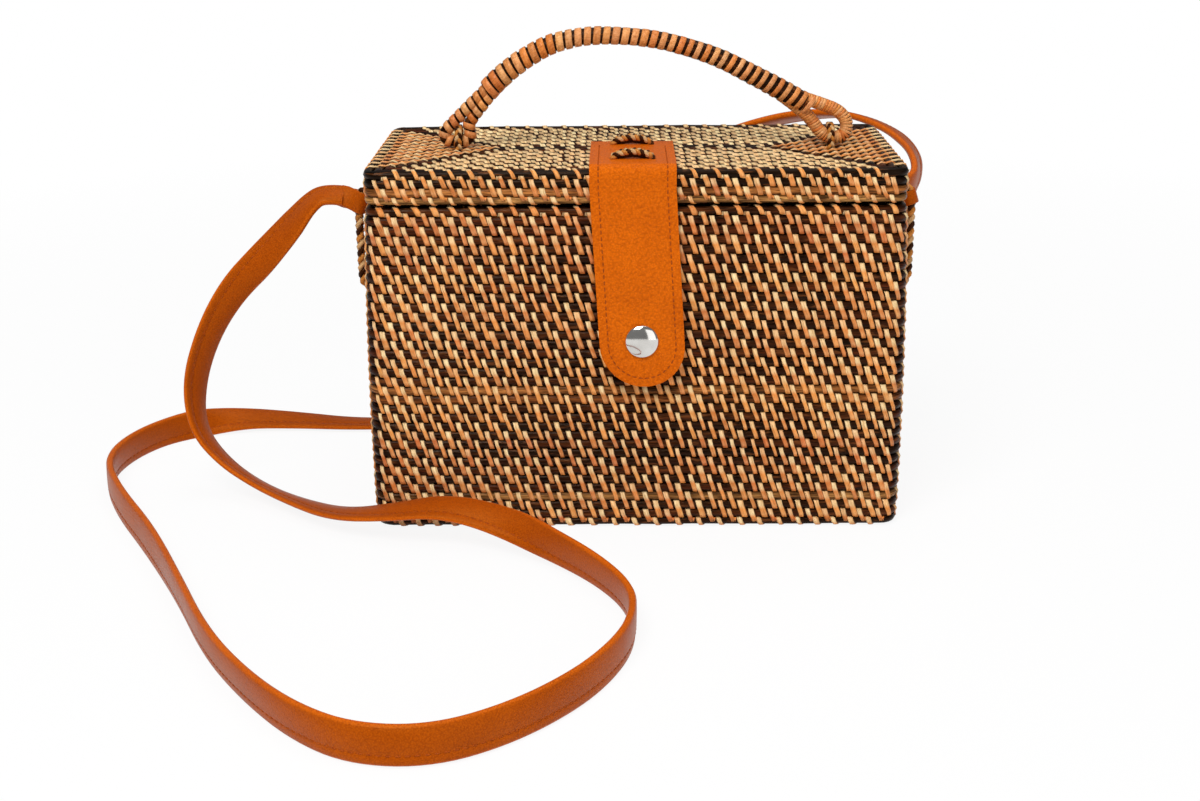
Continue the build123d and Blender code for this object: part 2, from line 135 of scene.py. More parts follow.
# Middle line of the strap in millimetres, each point with the direction that its inner face looks in
STRAP_ROUTE = (
    ((-119.5, 0, 126.1), (0, -0.72, 0.69)),
    ((-127.3, 0, 127.3), (-0.08, -0.49, 0.87)),
    ((-133.7, -0.8, 123.4), (-0.5, -0.62, 0.61)),
    ((-141.6, -1.5, 114), (-0.43, -0.78, 0.45)),
    ((-153, -2.5, 101.7), (-0.15, -0.96, 0.22)),
    ((-167.5, -3.5, 87.4), (0.33, -0.92, -0.21)),
    ((-179, -4.5, 69.5), (0.65, -0.7, -0.29)),
    ((-187, -5.5, 48), (0.82, -0.57, -0.11)),
    ((-187, -7.5, 27), (0.93, -0.14, 0.33)),
    ((-175.7, -12, 13.4), (0.64, 0.14, 0.75)),
    ((-159.4, -20.5, 5.8), (0.41, 0.3, 0.86)),
    ((-140.1, -36, 4.6), (0.21, 0.27, 0.94)),
    ((-119.6, -54, 6.8), (-0.07, 0.15, 0.99)),
    ((-98, -62.8, 11.6), (-0.21, -0.05, 0.98)),
    ((-76.4, -65.5, 15.6), (-0.08, -0.34, 0.94)),
    ((-53.9, -71.5, 12.4), (-0.18, -0.56, 0.81)),
    ((-33.2, -88, 9.3), (-0.6, -0.75, 0.2)),
    ((-14.3, -110, 8.2), (-0.8, -0.6, 0)),
    ((-2.5, -131, 6.6), (-0.9, -0.3, 0)),
    ((-2, -153, 6.6), (-1, 0, 0)),
    ((-7.9, -173.8, 6.6), (-0.9, 0.4, -0.1)),
    ((-21, -196.6, 6.8), (-0.75, 0.65, -0.2)),
    ((-41.5, -218, 6.9), (-0.6, 0.8, -0.28)),
    ((-64.2, -230.8, 6.9), (-0.25, 1, -0.32)),
    ((-88.6, -229.3, 6.9), (0.3, 1, -0.28)),
    ((-109.3, -215.2, 6.8), (0.65, 0.75, -0.1)),
    ((-129.3, -191.9, 6.6), (0.8, 0.6, 0)),
    ((-149.1, -161.7, 6.6), (0.87, 0.5, 0)),
    ((-168.6, -120, 6.6), (0.9, 0.44, 0)),
    ((-190.6, -77.2, 6.77), (0.85, 0.47, -0.22)),
    ((-214, -38, 6.76), (0.87, 0.46, -0.17)),
    ((-229.5, -3, 6.6), (1, 0.1, 0)),
    ((-226.5, 27, 6.6), (0.95, -0.35, 0)),
    ((-211.5, 51, 6.77), (0.7, -0.7, 0)),
    ((-188, 65.5, 5.5), (0.2, -0.44, 0.87)),
    ((-160, 68, 3.4), (0.06, -0.2, 0.98)),
    ((-132, 66, 1.87), (0.03, 0.04, 1)),
    ((-104, 67, 2), (-0.03, 0.03, 1)),
    ((-77, 71, 3.2), (-0.05, -0.18, 0.98)),
    ((-51, 76.5, 6.5), (-0.06, -0.58, 0.81)),
    ((-27, 82.5, 15), (0, -1, 0.1)),
    ((-9, 88, 33), (0, -1, 0)),
    ((0, 92.5, 57), (0, -1, 0)),
    ((6, 96.5, 81), (0, -1, 0)),
    ((15, 101, 104), (0, -1, -0.1)),
    ((31.8, 106, 125.3), (0.3, -0.6, -0.7)),
    ((54.9, 108.5, 134.5), (0.28, -0.47, -0.86)),
    ((78.2, 104, 140.3), (0.08, -0.49, -0.9)),
    ((99, 90, 143.3), (-0.17, -0.18, -0.94)),
    ((115.5, 71, 139.4), (-0.4, 0.11, -0.82)),
    ((121.9, 53, 133.8), (-0.62, 0.39, -0.58)),
    ((121.8, 38.5, 128.8), (-0.79, 0.42, -0.19)),
    ((119.6, 29.5, 125), (-0.85, 0.4, 0.1)),
    ((116.6, 22, 122.9), (-0.93, 0.15, -0.1)),
    ((113.1, 15, 122.6), (-0.95, 0, -0.31)),
    ((113.1, 8, 122.6), (-0.95, 0, -0.31)),
)
STRAP_STEPS = 7

# Section of the strap, as shares of its half width and half thickness, with a groove for the stitches
STRAP_SECTION = (
    (-0.94, 0.62), (-0.8, 0.98), (-0.3, 1.0), (0.42, 0.92), (0.5, 0.7), (0.58, 0.84), (0.9, 0.66), (1.0, 0.3),
    (1.0, -0.3), (0.9, -0.66), (0.58, -0.84), (0.5, -0.7), (0.42, -0.92), (-0.3, -1.0), (-0.8, -0.98),
    (-0.94, -0.62), (-1.0, 0.0),
)
STRAP_STITCH = 2.0 * MM
STRAP_SEAM_SHARES = (0.5, 0.72)
STRAP_DRAWN = 26 * MM
STRAP_DRAWN_SHARE = 0.7
STRAP_LOOK = 0.02

# Eyes of the strap in millimetres: place on the loop, lean of the loop, radius and length of the turned end
EYE_X = 113.08
EYE_Z = 122.63
EYE_LEAN = radians(18)
EYE_RADIUS = 2.6
EYE_LENGTH = 9.0
EYE_LEATHER = 1.2
EYE_EDGE = 0.4

# A plait: how far its strands swing across and outwards, their radius and the length of one turn
Plait = namedtuple("Plait", "width depth radius length")
LOOP_PLAIT = Plait(1.35 * MM, 0.75 * MM, 1.05 * MM, 9 * MM)
RING_PLAIT = Plait(0.8 * MM, 0.5 * MM, 0.8 * MM, 6.5 * MM)
TIE_PLAIT = Plait(1.45 * MM, 0.55 * MM, 0.85 * MM, 5.0 * MM)
TIE_BACKING = 1.5 * MM
PLAIT_STEP = 0.55 * MM

# Loops, rings, ties and lashings in millimetres
LOOP_ROOT = 102
LOOP_SHOULDER = 106
LOOP_REACH = 113.5
LOOP_LOW = 88
LOOP_HIGH = 128.5
LOOP_SHAPE = (
    (LOOP_ROOT, LOOP_LOW), (LOOP_SHOULDER, LOOP_LOW), (LOOP_REACH, LOOP_LOW),
    (LOOP_REACH, 98), (LOOP_REACH, 108), (LOOP_REACH, 119),
    (LOOP_REACH, LOOP_HIGH), (LOOP_SHOULDER, LOOP_HIGH), (LOOP_ROOT, LOOP_HIGH),
)
RING_PLACES = ((-71, "left"), (79, "right"))
RING_RADIUS = 5
RING_ROOT = 142.5
RING_CENTRE = 149
TIE_PLACES = ((-38.5, "front"), (-8.5, "rear"))
TIE_ARCH = (
    (-9, 142), (-9, 146), (-8.8, 149), (-6, 150.4), (-1, 151.2), (4, 150.4), (6.8, 149), (7, 146), (7, 142),
)
LASHING_PLACES = ((-56, "left"), (56, "right"))
LASHING_TONES = (0.2, 0.75, 0.15, 0.7)
LASHING_PITCH = 1.5
LASHING_RADIUS = 5.4
LASHING_CORD = 0.72
LASHING_Y = 50.5
LASHING_Z = 132.15

# Handle in its own upright plane, in millimetres: main cane, then the loop at each end
GRIP_POINTS = (
    (-59, 168.5), (-53.8, 173.6), (-42, 182.2), (-29.5, 187.8), (-5.6, 189.8), (26.2, 183.6), (50.4, 172.6),
    (71.4, 160.9),
)
GRIP_RADII = ((0, 4.5), (0.12, 4.4), (0.3, 3.75), (0.45, 3.5), (0.62, 3.65), (0.8, 4.1), (1, 4.55))
LEFT_LOOP = (
    (-54, 173.6), (-59, 169.4), (-63.6, 165.3), (-67.4, 161.7), (-70.8, 158.2), (-74.4, 154.9),
    (-77.2, 151.6), (-76.4, 148.6), (-71.6, 148.4), (-67.2, 148.6), (-66.2, 151.8), (-67.2, 155.2),
    (-64.2, 159.2), (-61, 163.2), (-57, 168), (-51, 173.6),
)
RIGHT_LOOP = (
    (61, 167.2), (68, 164.7), (75.6, 162.2), (82, 159.8), (86, 155.3), (85.2, 149.6),
    (80, 148.5), (75.4, 150.6), (72.4, 154.8), (67.8, 159.8), (59, 166),
)
LEFT_CORE = 2.25
RIGHT_CORE = 2.3
WRAP_DEPTH = 0.32
BAND_DEPTH = 0.6

# A winding: slant of its turns, tone from deep to plain strip, and how plainly each turn stands out, in its
# lift and in the painted shade at its edges
Winding = namedtuple("Winding", "tilt tone relief")
GRIP_WINDING = Winding(0.12, 0.5, 1.0)
LEFT_WINDING = Winding(0.2, 0.5, 1.0)
RIGHT_WINDING = Winding(0.15, 0.6, 0.45)

# Windings of the loops: radius and pitch in millimetres, and the share of the pitch that the strip covers
LEFT_TURNS = (2.6, 3.4, 0.76)
RIGHT_TURNS = (2.65, 1.15, 1.0)
BAND_AROUND = 18
BAND_PROFILE = ((-0.5, -0.55), (-0.44, -0.08), (0.0, 0.0), (0.44, -0.08), (0.5, -0.55))

# Leather flap in millimetres
FLAP_SHIFT = -1.0
FLAP_HALF = 16.5
FLAP_REAR = -2.5
FLAP_FLAT_END = -49.15
FLAP_BEND = 1.0
FLAP_GAP = 0.06
FLAP_FACE_Y = -52.35
FLAP_FOLD_Z = 139.0
FLAP_LENGTH = 77.0
LEATHER = 2.2
FLAP_SKEW = tan(radians(3.2))
FLAP_SLOPE = radians(4.0)
FLAP_TOP = LID_FACE / MM
FLAP_RUN = FLAP_REAR - FLAP_FLAT_END
FLAP_ARC = (FLAP_BEND + LEATHER / 2) * pi / 2
FLAP_DROP = FLAP_TOP - FLAP_BEND - FLAP_FOLD_Z
FLAP_TOTAL = FLAP_RUN + FLAP_ARC + FLAP_DROP + FLAP_LENGTH
FLAP_TIP_SHARE = 0.8
FLAP_EDGE = 0.55
FLAP_STITCH = 1.7
SEAM_INSET = 3.4
SEAM_START = 7.5

# Snap fastener in millimetres: distance below the fold, and the cap's dome
SNAP_DROP = 58.8
CAP_RADIUS = 6.4
CAP_RIM = 0.75
CAP_RISE = 1.6
CAP_CUT_SHARE = 0.28

# Lamps of the stage in metres and watts: name, place, aim, size and power
LAMPS = (
    ("key", (-0.35, -0.85, 1.25), (0, -0.03, 0.06), 0.7, 15.5),
    ("fill", (0.8, -1.2, 0.5), (0, 0, 0.08), 1.0, 4.0),
    ("top", (0.2, 0.2, 1.5), (0, 0, 0.1), 0.9, 6.2),
)
CAMERA_PLACE = (-5.89 * MM, -666.48 * MM, 270.5 * MM)
CAMERA_PITCH = radians(19.358)
CAMERA_YAW = radians(-0.777)
CAMERA_ROLL = radians(-0.555)
CAMERA_LENS = 49.5
CAMERA_SENSOR = 36


def srgb(red, green, blue):
    """A colour given as 0 to 255 screen values, as linear values."""
    out = []
    for value in (red, green, blue):
        share = value / 255
        out.append(share / 12.92 if share <= 0.04045 else ((share + 0.055) / 1.055) ** 2.4)
    return tuple(out)


def length_property(name, description, millimetres):
    return bpy.props.FloatProperty(
        name=name, description=description, default=millimetres * MM, unit="LENGTH"
    )


def colour_property(name, description, *screen):
    return bpy.props.FloatVectorProperty(
        name=name, description=description, subtype="COLOR", default=srgb(*screen), min=0, max=1
    )


class BoxBagSizes(bpy.types.PropertyGroup):
    """Sizes of the weave, the strap and the stitching."""

    rod_radius: length_property("Rod Radius", "Radius of the coiled rods", 1.92)
    strip_width: length_property("Strip Width", "Mean width of the binding strips", 2.15)
    strip_thickness: length_property("Strip Thickness", "How far a strip stands off its rods", 0.38)
    strip_slant: length_property("Strip Slant", "Sideways shift of a strip over its length", 3.0)
    strap_width: length_property("Strap Width", "Width of the shoulder strap", 13.0)
    strap_thickness: length_property("Strap Thickness", "Thickness of the shoulder strap", 3.0)
    stitch_pitch: length_property("Stitch Pitch", "Distance from stitch to stitch", 3.0)
    seed: bpy.props.IntProperty(name="Seed", description="Start of the irregular widths and tones", default=7)


class BoxBagColours(bpy.types.PropertyGroup):
    """Colours of the rattan, the leather and the thread."""

    strip: colour_property("Strip", "Binding strips", 252, 164, 76)
    # Pale rattan; on the strips it is also the painted highlight of their crests and upper ends and the
    # painted sheen on the lid's top
    strip_pale_and_highlight: colour_property("Pale Strip", "Upper ends of the strips", 255, 238, 186)
    strip_deep: colour_property("Deep Strip", "Darker strips", 218, 106, 34)
    rod_black: colour_property("Black Rod", "Dyed rods", 13, 4, 1)
    rod_brown: colour_property("Brown Rod", "Smoked rods", 112, 54, 18)
    rod_tan: colour_property("Tan Rod", "Natural rods", 248, 184, 106)
    flap: colour_property("Flap Leather", "Closing flap", 233, 111, 9)
    strap: colour_property("Strap Leather", "Shoulder strap", 186, 84, 3)
    thread: colour_property("Thread", "Stitching", 176, 80, 14)


def mix3(low, high, share):
    """Colour between two, or an array of them for an array of shares."""
    share = np.asarray(share)[..., None]
    return np.asarray(low) * (1 - share) + np.asarray(high) * share


def rod_colour(tone):
    """Colour on the scale from black (0) through brown (0.5) to tan (1)."""
    colours = bpy.context.scene.box_bag_colours
    if tone < 0.5:
        return mix3(colours.rod_black, colours.rod_brown, tone * 2)
    return mix3(colours.rod_brown, colours.rod_tan, tone * 2 - 1)


def unit(vectors):
    """Rows of an array, each made one long."""
    return vectors / np.linalg.norm(vectors, axis=1)[:, None]


def tangents(points):
    return unit(np.gradient(points, axis=0))


def distances(line):
    """Distance of each point of a line from its start."""
    return np.append(0, np.cumsum(np.linalg.norm(np.diff(line, axis=0), axis=1)))


def read_at(marks, distance, values):
    """Values along a line, read at other distances."""
    return np.column_stack([np.interp(marks, distance, values[:, axis]) for axis in range(3)])


def deselect():
    if bpy.context.mode != "OBJECT":
        bpy.ops.object.mode_set(mode="OBJECT")
    bpy.ops.object.select_all(action="DESELECT")


def activate(obj):
    deselect()
    obj.select_set(True)
    bpy.context.view_layer.objects.active = obj


def pick(obj, test):
    """Selects the points of obj that pass the test, and leaves edit mode on."""
    bpy.ops.object.mode_set(mode="OBJECT")
    mesh = obj.data
    mesh.polygons.foreach_set("select", [False] * len(mesh.polygons))
    mesh.edges.foreach_set("select", [False] * len(mesh.edges))
    mesh.vertices.foreach_set("select", [bool(test(v.co)) for v in mesh.vertices])
    bpy.ops.object.mode_set(mode="EDIT")
    bpy.ops.mesh.select_mode(type="VERT")


def face_outwards():
    """Turns the active object's faces outwards."""
    bpy.ops.object.mode_set(mode="EDIT")
    bpy.ops.mesh.select_all(action="SELECT")
    bpy.ops.mesh.normals_make_consistent(inside=False)
    bpy.ops.object.mode_set(mode="OBJECT")


def thicken(obj, thickness, offset, edge_width, edge_segments):
    """Gives the active sheet its thickness and rounded edges."""
    thick = obj.modifiers.new("thickness", "SOLIDIFY")
    thick.thickness = thickness
    thick.offset = offset
    edge = obj.modifiers.new("edge", "BEVEL")
    edge.width = edge_width
    edge.segments = edge_segments
    edge.limit_method = "ANGLE"
    edge.angle_limit = radians(60)
    bpy.ops.object.modifier_apply(modifier="thickness")
    bpy.ops.object.modifier_apply(modifier="edge")


def join(objects, name):
    deselect()
    for obj in objects:
        obj.select_set(True)
    bpy.context.view_layer.objects.active = objects[0]
    bpy.ops.object.join()
    joined = bpy.context.view_layer.objects.active
    joined.name = name
    return joined


def remove(obj):
    mesh = obj.data
    bpy.data.objects.remove(obj)
    bpy.data.meshes.remove(mesh)


def link(name, data):
    obj = bpy.data.objects.new(name, data)
    bpy.context.scene.collection.objects.link(obj)
    return obj


def coords(mesh):
    out = np.empty(len(mesh.vertices) * 3, np.float32)
    mesh.vertices.foreach_get("co", out)
    return out.reshape(-1, 3).astype(float)


def set_coords(mesh, points):
    mesh.vertices.foreach_set("co", points.astype(np.float32).ravel())


def paint(mesh, colours):
    """Gives each point its own colour, kept as the attribute named tone; on the rods, strips and bands this
    colour also holds painted shade and painted highlights.
    """
    layer = mesh.attributes.new("tone", "FLOAT_COLOR", "POINT")
    full = np.ones((len(mesh.vertices), 4), np.float32)
    full[:, :3] = colours
    layer.data.foreach_set("color", full.ravel())


def finish_piece(obj, material, body, replaced=()):
    obj.data.materials.clear()
    obj.data.materials.append(material)
    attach(obj, body)
    if replaced:
        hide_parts(*replaced)
    return obj


def copies(name, template, places, tones=None):
    """One mesh of many copies of the template, with their points as (copy, point, 3) and their colours."""
    mesh = bpy.data.meshes.new(name)
    count, points = places.shape[:2]
    faces = [tuple(face.vertices) for face in template.polygons]
    corners = np.concatenate(faces)
    starts = np.cumsum([0] + [len(face) for face in faces[:-1]])
    numbers = np.arange(count)[:, None]
    links = (corners + points * numbers).ravel()
    mesh.vertices.add(count * points)
    set_coords(mesh, places)
    mesh.loops.add(len(links))
    mesh.loops.foreach_set("vertex_index", links.astype(np.int32))
    mesh.polygons.add(count * len(faces))
    mesh.polygons.foreach_set("loop_start", (starts + len(corners) * numbers).ravel().astype(np.int32))
    mesh.update(calc_edges=True)
    mesh.polygons.foreach_set("use_smooth", [True] * len(mesh.polygons))
    if tones is not None:
        shift = np.random.default_rng(len(name)).uniform(0, 40, (count, 1, 2))
        spread = (coords(template)[None, :, :2] + shift).reshape(-1, 2)
        layer = mesh.uv_layers.new(name="fibre")
        layer.data.foreach_set("uv", spread[links].astype(np.float32).ravel())
        paint(mesh, tones.reshape(-1, 3))
    return link(name, mesh)


def read_curve(curve):
    """Points along a curve, which is removed."""
    holder = link("guide", curve)
    bpy.context.view_layer.update()
    mesh = bpy.data.meshes.new_from_object(holder)
    out = coords(mesh)
    bpy.data.objects.remove(holder)
    bpy.data.curves.remove(curve)
    bpy.data.meshes.remove(mesh)
    return out


def read_spline(points, resolution):
    """Points along a smooth spline whose control points are given in metres."""
    curve = bpy.data.curves.new("guide", "CURVE")
    curve.dimensions = "3D"
    spline = curve.splines.new("NURBS")
    spline.points.add(len(points) - 1)
    for target, point in zip(spline.points, points):
        target.co = (*point, 1)
    spline.order_u = 3
    spline.use_endpoint_u = True
    spline.resolution_u = resolution
    return read_curve(curve)


def smooth_line(points, resolution=10):
    """Points along a smooth spline whose control points are given in millimetres."""
    return read_spline([tuple(value * MM for value in point) for point in points], resolution)


def through(points, resolution=14):
    """Points of a smooth line that passes through the given points."""
    curve = bpy.data.curves.new("guide", "CURVE")
    curve.dimensions = "3D"
    curve.resolution_u = resolution
    spline = curve.splines.new("BEZIER")
    spline.bezier_points.add(len(points) - 1)
    for target, point in zip(spline.bezier_points, points):
        target.co = point
        target.handle_left_type = target.handle_right_type = "AUTO"
    return read_curve(curve)


def tubes(name, paths, radius, sides=8, cyclic=False, tapered=None):
    """Round strands along the paths, as one mesh."""
    curve = bpy.data.curves.new(name, "CURVE")
    curve.dimensions = "3D"
    curve.bevel_depth = radius
    curve.bevel_resolution = (sides - 4) // 2
    curve.use_fill_caps = not cyclic
    for path in paths:
        spline = curve.splines.new("POLY")
        spline.points.add(len(path) - 1)
        for index, (target, point) in enumerate(zip(spline.points, path)):
            target.co = (*point, 1)
            if tapered is not None:
                target.radius = tapered[index]
        spline.use_cyclic_u = cyclic
    activate(link(name, curve))
    bpy.ops.object.convert(target="MESH")
    obj = bpy.context.view_layer.objects.active
    obj.name = name
    bpy.ops.object.shade_smooth()
    mark_strands(obj.data, [np.asarray(path, float) for path in paths])
    return obj


def mark_strands(mesh, paths):
    """Keeps each point's place on its strand, along it and to its sides, as the attribute named strand."""
    place = np.concatenate([
        distances(path) + number * 0.37 + path[0, 2] * 90 for number, path in enumerate(paths)
    ])
    middle = np.concatenate(paths)
    spot = coords(mesh)
    near = np.argmin(np.linalg.norm(spot[:, None] - middle[None], axis=2), axis=1)
    aside = spot - middle[near]
    layer = mesh.attributes.new("strand", "FLOAT_VECTOR", "POINT")
    full = np.column_stack([place[near], aside[:, 2], np.hypot(aside[:, 0], aside[:, 1])])
    layer.data.foreach_set("vector", full.astype(np.float32).ravel())


def add(tree, kind, inputs=None, **settings):
    """A node with its settings and inputs; an input is a value or another node's output."""
    node = tree.nodes.new(kind)
    for key, value in settings.items():
        setattr(node, key, value)
    for key, value in (inputs or {}).items():
        if isinstance(value, bpy.types.NodeSocket):
            tree.links.new(value, node.inputs[key])
        else:
            node.inputs[key].default_value = value
    return node


def material(name, **sockets):
    """A surface whose named shader sockets are set; returns it, its tree and its shader."""
    made = bpy.data.materials.new(name)
    made.use_nodes = True
    tree = made.node_tree
    shader = tree.nodes["Principled BSDF"]
    for key, value in sockets.items():
        shader.inputs[key.replace("_", " ")].default_value = value
    return made, tree, shader


def shared(name, maker, *values):
    """The material of that name, made at its first use."""
    return bpy.data.materials.get(name) or maker(name, *values)


def attribute(tree, name, output):
    return add(tree, "ShaderNodeAttribute", attribute_name=name).outputs[output]


def object_place(tree):
    return add(tree, "ShaderNodeTexCoord").outputs["Object"]


def stretched(tree, place, scale):
    return add(tree, "ShaderNodeMapping", {"Vector": place, "Scale": scale}).outputs["Vector"]


def noise(tree, place, scale, detail):
    return add(tree, "ShaderNodeTexNoise", {"Vector": place, "Scale": scale, "Detail": detail}).outputs["Fac"]


def ramp(tree, factor, *stops):
    """Greys or colours at places of a factor from 0 to 1."""
    node = add(tree, "ShaderNodeValToRGB", {"Fac": factor})
    while len(node.color_ramp.elements) < len(stops):
        node.color_ramp.elements.new(0.5)
    for element, (place, value) in zip(node.color_ramp.elements, stops):
        element.position = place
        element.color = (value, value, value, 1) if isinstance(value, (int, float)) else (*value, 1)
    return node.outputs["Color"]


def mixed(tree, share, first, second, blend_type="MIX"):
    inputs = {"Factor": share, "A": first, "B": second}
    return add(tree, "ShaderNodeMix", inputs, data_type="RGBA", blend_type=blend_type).outputs["Result"]


def multiply(tree, first, second, share=1.0):
    return mixed(tree, share, first, second, "MULTIPLY")


def bump(tree, shader, height, strength, distance):
    node = add(tree, "ShaderNodeBump", {"Height": height, "Strength": strength, "Distance": distance})
    tree.links.new(node.outputs["Normal"], shader.inputs["Normal"])


def strip_material(name):
    """Split rattan peel: toned fibres along the strip under a thin lacquer."""
    made, tree, shader = material(
        name, Coat_Weight=0.12, Coat_Roughness=0.25, Specular_IOR_Level=0.4, Specular_Tint=(1, 0.7, 0.45, 1),
    )
    place = add(tree, "ShaderNodeUVMap", uv_map="fibre").outputs["UV"]
    fibre = noise(tree, stretched(tree, place, (16, 1.2, 1)), 1.0, 3.0)
    patch = noise(tree, place, 2.2, 2.0)
    streak = ramp(tree, fibre, (0.32, srgb(206, 186, 164)), (0.5, 1.0))
    stain = ramp(tree, patch, (0.3, srgb(226, 210, 192)), (0.6, 1.0))
    # The tone attribute brings the painted highlight and painted shade laid on the strips and bands
    colour = multiply(tree, multiply(tree, attribute(tree, "tone", "Color"), streak), stain)
    tree.links.new(colour, shader.inputs["Base Color"])
    tree.links.new(ramp(tree, patch, (0.2, 0.36), (0.8, 0.55)), shader.inputs["Roughness"])
    bump(tree, shader, fibre, 0.25, 0.0002)
    return made


def rod_material(name, wear):
    """Smoked and dyed rods: long fibres, worn patches and a lacquer that has gone dull in places."""
    made, tree, shader = material(
        name, Coat_Weight=0.05, Coat_Roughness=0.14, Specular_IOR_Level=0.15, Specular_Tint=(1, 0.5, 0.25, 1),
    )
    place = attribute(tree, "strand", "Vector")
    cloud = noise(tree, stretched(tree, place, (60, 300, 300)), 1.0, 3.0)
    fibre = noise(tree, stretched(tree, place, (150, 2600, 2600)), 1.0, 2.0)
    worn = noise(tree, stretched(tree, place, (130, 700, 700)), 1.0, 3.0)
    shade = ramp(tree, cloud, (0.34, srgb(96, 88, 86)), (0.5, srgb(200, 192, 186)), (0.66, 1.0))
    lines = ramp(tree, fibre, (0.34, srgb(110, 100, 96)), (0.58, 1.0))
    # On the rods, the tone attribute also brings the painted shade in the grooves
    colour = multiply(tree, multiply(tree, attribute(tree, "tone", "Color"), shade, wear), lines, wear)
    patch = ramp(tree, worn, (0.57, 0.0), (0.68, 0.4 * wear))
    tree.links.new(mixed(tree, patch, colour, (*srgb(132, 76, 38), 1)), shader.inputs["Base Color"])
    tree.links.new(ramp(tree, cloud, (0.36, 0.2), (0.62, 0.5)), shader.inputs["Roughness"])
    bump(tree, shader, fibre, 0.55, 0.0004)
    return made


def leather_material(name, colour, grain, relief, sheen):
    """Smooth dyed leather: fine grain, slight mottling, burnished edges and a waxed surface."""
    made, tree, shader = material(
        name, Specular_IOR_Level=0.2, Specular_Tint=(1, 0.6, 0.16, 1),
        Sheen_Weight=sheen, Sheen_Roughness=0.6, Sheen_Tint=(1, 0.8, 0.66, 1),
    )
    place = object_place(tree)
    voronoi = {"Vector": place, "Scale": grain}
    cells = add(tree, "ShaderNodeTexVoronoi", voronoi, feature="SMOOTH_F1").outputs["Distance"]
    fine = noise(tree, place, grain * 1.7, 3.0)
    cloud = noise(tree, place, 38.0, 3.0)
    base = mixed(tree, attribute(tree, "edge", "Fac"), (*colour, 1), (*srgb(226, 108, 12), 1))
    mottled = multiply(tree, base, ramp(tree, cloud, (0.3, srgb(242, 236, 230)), (0.6, 1.0)))
    pores = ramp(tree, cells, (0.1, 1.0), (0.7, srgb(220, 208, 198)))
    tree.links.new(multiply(tree, mottled, pores), shader.inputs["Base Color"])
    tree.links.new(ramp(tree, cloud, (0.3, 0.34), (0.7, 0.44)), shader.inputs["Roughness"])
    height = add(tree, "ShaderNodeMath", {0: cells, 1: fine}, operation="SUBTRACT").outputs[0]
    bump(tree, shader, height, relief, 0.0005)
    return made


def thread_material(name):
    """Waxed thread with a fine twist."""
    made, tree, shader = material(name, Roughness=0.6, Specular_IOR_Level=0.1)
    twist = noise(tree, object_place(tree), 2600.0, 2.0)
    shade = ramp(tree, twist, (0.3, srgb(190, 170, 150)), (0.6, 1.0))
    colour = multiply(tree, (*bpy.context.scene.box_bag_colours.thread, 1), shade)
    tree.links.new(colour, shader.inputs["Base Color"])
    bump(tree, shader, twist, 0.3, 0.0002)
    return made


def metal_material(name):
    """Nickel plate with faint wear."""
    made, tree, shader = material(name, Metallic=1.0, Roughness=0.12)
    wear = noise(tree, object_place(tree), 160.0, 2.0)
    tone = ramp(tree, wear, (0.3, srgb(206, 203, 198)), (0.7, srgb(220, 218, 214)))
    tree.links.new(tone, shader.inputs["Base Color"])
    return made


def rod_finish():
    return shared("rattan_rod", rod_material, 1.0)


def cord_finish():
    return shared("rattan_cord", rod_material, 0.35)


def strip_finish():
    return shared("rattan_strip", strip_material)


def thread_finish():
    return shared("thread", thread_material)


def wall_set(z):
    """How far the basket's wall stands out from the plain box at a height."""
    share = z / BODY_HEIGHT
    return BASE_FLARE * (1 - share) + WALL_BULGE * 4 * share * (1 - share)


def body_chain(radius):
    """Rods from the middle of the floor out and up to the rim."""
    rods = []
    for row in range(FLAT_ROWS):
        tone = 0.3 + 0.5 * (row % 5 == 2)
        rods.append(Rod((row + 0.5) * FLAT_PITCH - HALF_Y, radius + FLOOR_SINK, (0, -1), radius, tone))
    pitch = BODY_HEIGHT / len(ROD_TONES)
    for row, tone in enumerate(ROD_TONES):
        z, thick = (row + 0.5) * pitch, radius
        if row == 0:
            z, thick = z + BASE_ROW_LIFT, radius * BASE_ROW_SHARE
        if row == len(ROD_TONES) - 1:
            z, thick = z - TOP_ROW_DROP, radius * TOP_ROW_SHARE
        rods.append(Rod(wall_set(z) - radius - WALL_SINK, z, (1, 0), thick, tone))
    return rods


def lid_chain(radius):
    """Rods from the lid's rim up the skirt and in to the middle of the top."""
    rods = []
    pitch = (LID_FACE - LID_BASE) / len(SKIRT_TONES)
    for row, tone in enumerate(SKIRT_TONES):
        z, thick = LID_BASE + (row + 0.5) * pitch, radius * SKIRT_SHARE
        if row == 0:
            z, thick = z + SKIRT_ROW_LIFT, radius * SKIRT_ROW_SHARE
        if row == len(SKIRT_TONES) - 1:
            z = z - LID_EDGE_DROP
        rods.append(Rod(-radius - WALL_SINK, z, (1, 0), thick, tone))
    for row in reversed(range(FLAT_ROWS)):
        away = (row + 0.5) * FLAT_PITCH - HALF_Y
        tone = TOP_TONES[row % len(TOP_TONES)]
        rods.append(Rod(away, LID_FACE - radius - TOP_SINK, (0, 1), radius, tone))
    return rods


def ring(offset, z, rng):
    """Points round the box outline moved outwards by an offset, with the small waves of a hand-laid rod."""
    half_x = HALF_X + offset
    half_y = HALF_Y + offset
    turn = min(max(CORNER + offset, RING_LEAST_TURN), half_y * 0.9)
    points = []
    for (right, out, _, _), steps in zip(SIDES, RING_STEPS):
        reach, away = (half_x, half_y) if right[0] else (half_y, half_x)
        right, out = np.array(right, float), np.array(out, float)
        for share in np.linspace(-1, 1, steps):
            wave = np.clip(rng.normal(0, ROD_WAVE, 2), -ROD_WAVE_LIMIT, ROD_WAVE_LIMIT)
            spot = right * (reach - turn) * share + out * (away + wave[0])
            points.append((spot[0], spot[1], z + wave[1]))
        centre = right * (reach - turn) + out * (away - turn)
        for angle in np.linspace(0, pi / 2, 6)[1:-1]:
            spot = centre + turn * (out * cos(angle) + right * sin(angle))
            points.append((spot[0], spot[1], z))
    return points[RING_SEAM:] + points[:RING_SEAM]


